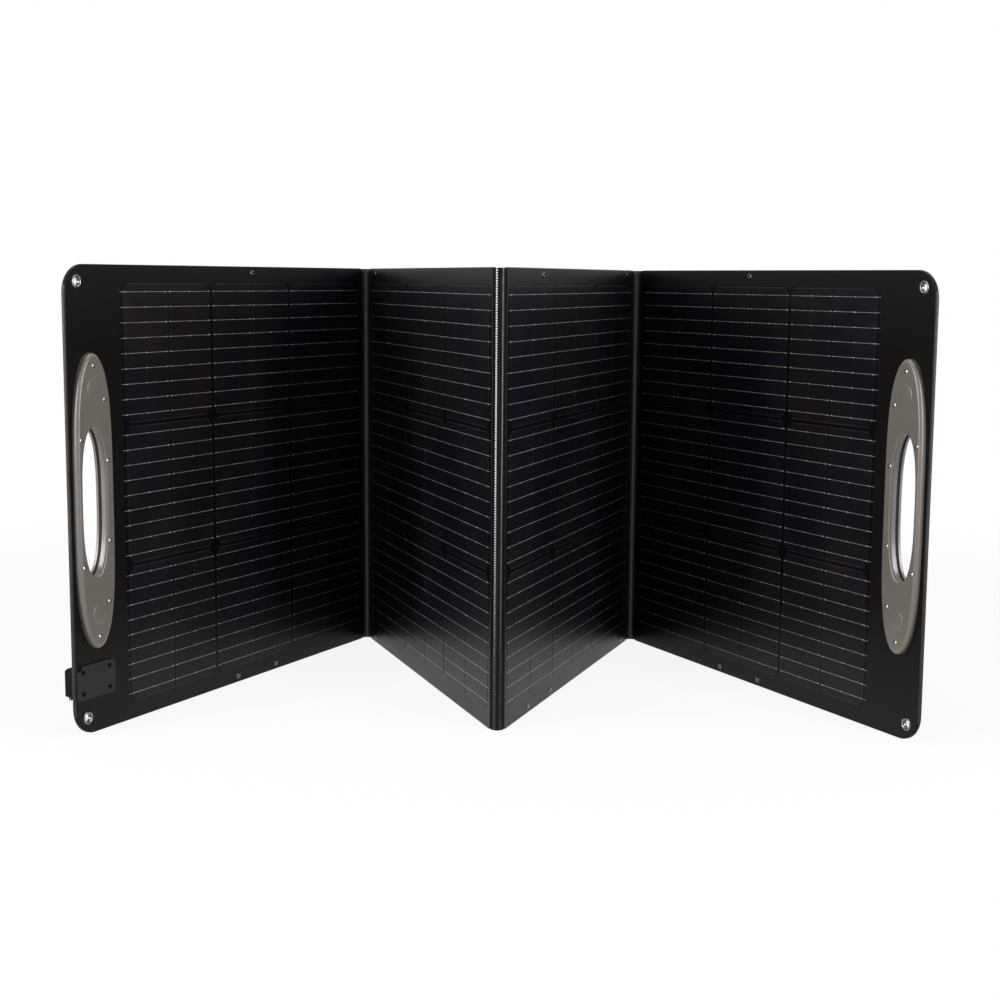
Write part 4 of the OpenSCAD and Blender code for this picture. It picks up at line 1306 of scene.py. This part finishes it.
def leg_foot(u):
    piece = block((LEG_FOOT, LEG_THICK, FOOT_HIGH - FOOT_LOW), (u, ROD_N, (FOOT_LOW + FOOT_HIGH) / 2))
    round_edges(piece, lambda place: place.z < FOOT_LOW + TINY, FOOT_RIM, 4)
    return piece


def leg_loop(u):
    """A webbing tab under its rivet that wraps the rod, laid along a bent path."""
    inner = BACK - LOOP_LIFT
    path = [(inner, LOOP_TOP), (inner, (LOOP_TOP + ROD_Z) / 2), (inner, ROD_Z + LOOP_NECK)]
    for degrees in LOOP_DEGREES:
        turn = math.radians(degrees)
        path.append((ROD_N + LOOP_BEND * math.cos(turn), ROD_Z + LOOP_BEND * math.sin(turn)))

    def lay(column, row):
        return u + (column / LOOP_COLUMNS - 0.5) * LOOP_WIDTH, *path[row]

    piece = laid_grid("loop", LOOP_COLUMNS, len(path) - 1, lay)
    thicken(piece, LOOP_THICK, 0)
    lay_map(piece)
    length = sum(math.dist(a, b) for a, b in zip(path, path[1:]))
    return piece, length


for place in ((left_outer, "left"), (right_inner, "middle"), (right_outer, "right")):
    panel, side = place
    u, leg = LEG_U[panel.name], side + "_leg"
    stand(leg_board(u), [place], "_leg_cover", leg_twill, "_leg_board", leg)
    stand(leg_stitches(u), [place], "_leg_sewing", thread_grey, None, leg)
    stand(leg_foot(u), [place], "_leg_rubber", rubber, "_leg_foot", leg)
    loop, loop_length = leg_loop(u)
    made = stand(loop, [place], "_leg_webbing", webbing, "_leg_loop")[0]

# %% [markdown]
# ## Carried-over solids
# Boards, magnets, rods, the gasket, the circuit board, the socket and the cover's
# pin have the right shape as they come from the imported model. They keep their
# meshes and get finishes of their own.

# %% Carried-over solids
kept = {
    "board": board_green, "magnet": magnet_plate, "steel": steel, "rubber": rubber,
    "circuit": circuit, "box_plastic": box_black,
}
slot_of = {part["node"]: part["material_slot"] for part in frame["record"]["subparts"]}
for name, node in frame["nodes"].items():
    if not node.hide_render:
        node.data.materials.clear()
        node.data.materials.append(kept[slot_of[name]].material)
        print("kept", name)

# %% [markdown]
# ## Floor and light
# The panel stands in a white studio. The floor is plain white paper that still
# takes the panel's shadow. To the camera, in reflections and through glass, the
# paper and the studio behind it also glow white, all three alike, so nothing
# needs more light. The soft boxes: one overhead, two in front, two at the sides.

# %% Floor and light
floor = start("studio_floor", bpy.ops.mesh.primitive_plane_add, size=60)
paper = Finish("white_paper", base_color=(0.86, 0.86, 0.86), roughness=0.9, specular_ior_level=0.0)
from_middle = paper.node("ShaderNodeVectorMath", {"operation": "LENGTH"}, {0: paper.place()}, "Value")
far_off = paper.node("ShaderNodeMapRange", {"interpolation_type": "SMOOTHSTEP"}, {
    "Value": from_middle, "From Min": 0.7, "From Max": 1.9,
})
glow_share = paper.seen_directly() * (far_off * 0.12 + 0.88)
glow = paper.node("ShaderNodeEmission")
paper_shader = Value(paper, paper.shader.outputs[0])
lit = paper.node("ShaderNodeMixShader", None, {0: glow_share, 1: paper_shader, 2: glow})
paper.join(lit, paper.tree.nodes["Material Output"].inputs[0])
floor.data.materials.append(paper.material)

scene.world = bpy.data.worlds.new("studio")
scene.world.use_nodes = True
studio = Nodes(scene.world.node_tree)
studio_light = studio.mix(studio.seen_directly(), (0.16, 0.16, 0.16), (1, 1, 1))
studio.join(studio_light, studio.tree.nodes["Background"].inputs["Color"])


def soft_box(name, place, aim, size, power):
    bpy.ops.object.light_add(type="AREA", location=place)
    lamp = bpy.context.object
    lamp.name = name
    lamp.data.shape = "RECTANGLE"
    lamp.data.size, lamp.data.size_y = size
    lamp.data.energy = power
    lamp.rotation_mode = "QUATERNION"
    lamp.rotation_quaternion = (Vector(aim) - Vector(place)).to_track_quat("-Z", "Y")
    lamp.visible_camera = False


soft_box("overhead", (0, -0.3, 2.6), (0, 0, 0.2), (2.4, 1.6), 34)
soft_box("left_front", (-2.2, -1.75, 0.95), (0, -0.1, 0.8), (0.4, 1.5), 46)
soft_box("right_front", (2.0, -2.07, 0.95), (0, -0.1, 0.8), (0.35, 1.5), 42)
for side in (-1, 1):
    soft_box("side_strip", (side * 2.95, -1.12, 0.95), (side * 0.49, -0.27, 0.8), (0.3, 1.4), 36)
print("studio ready")
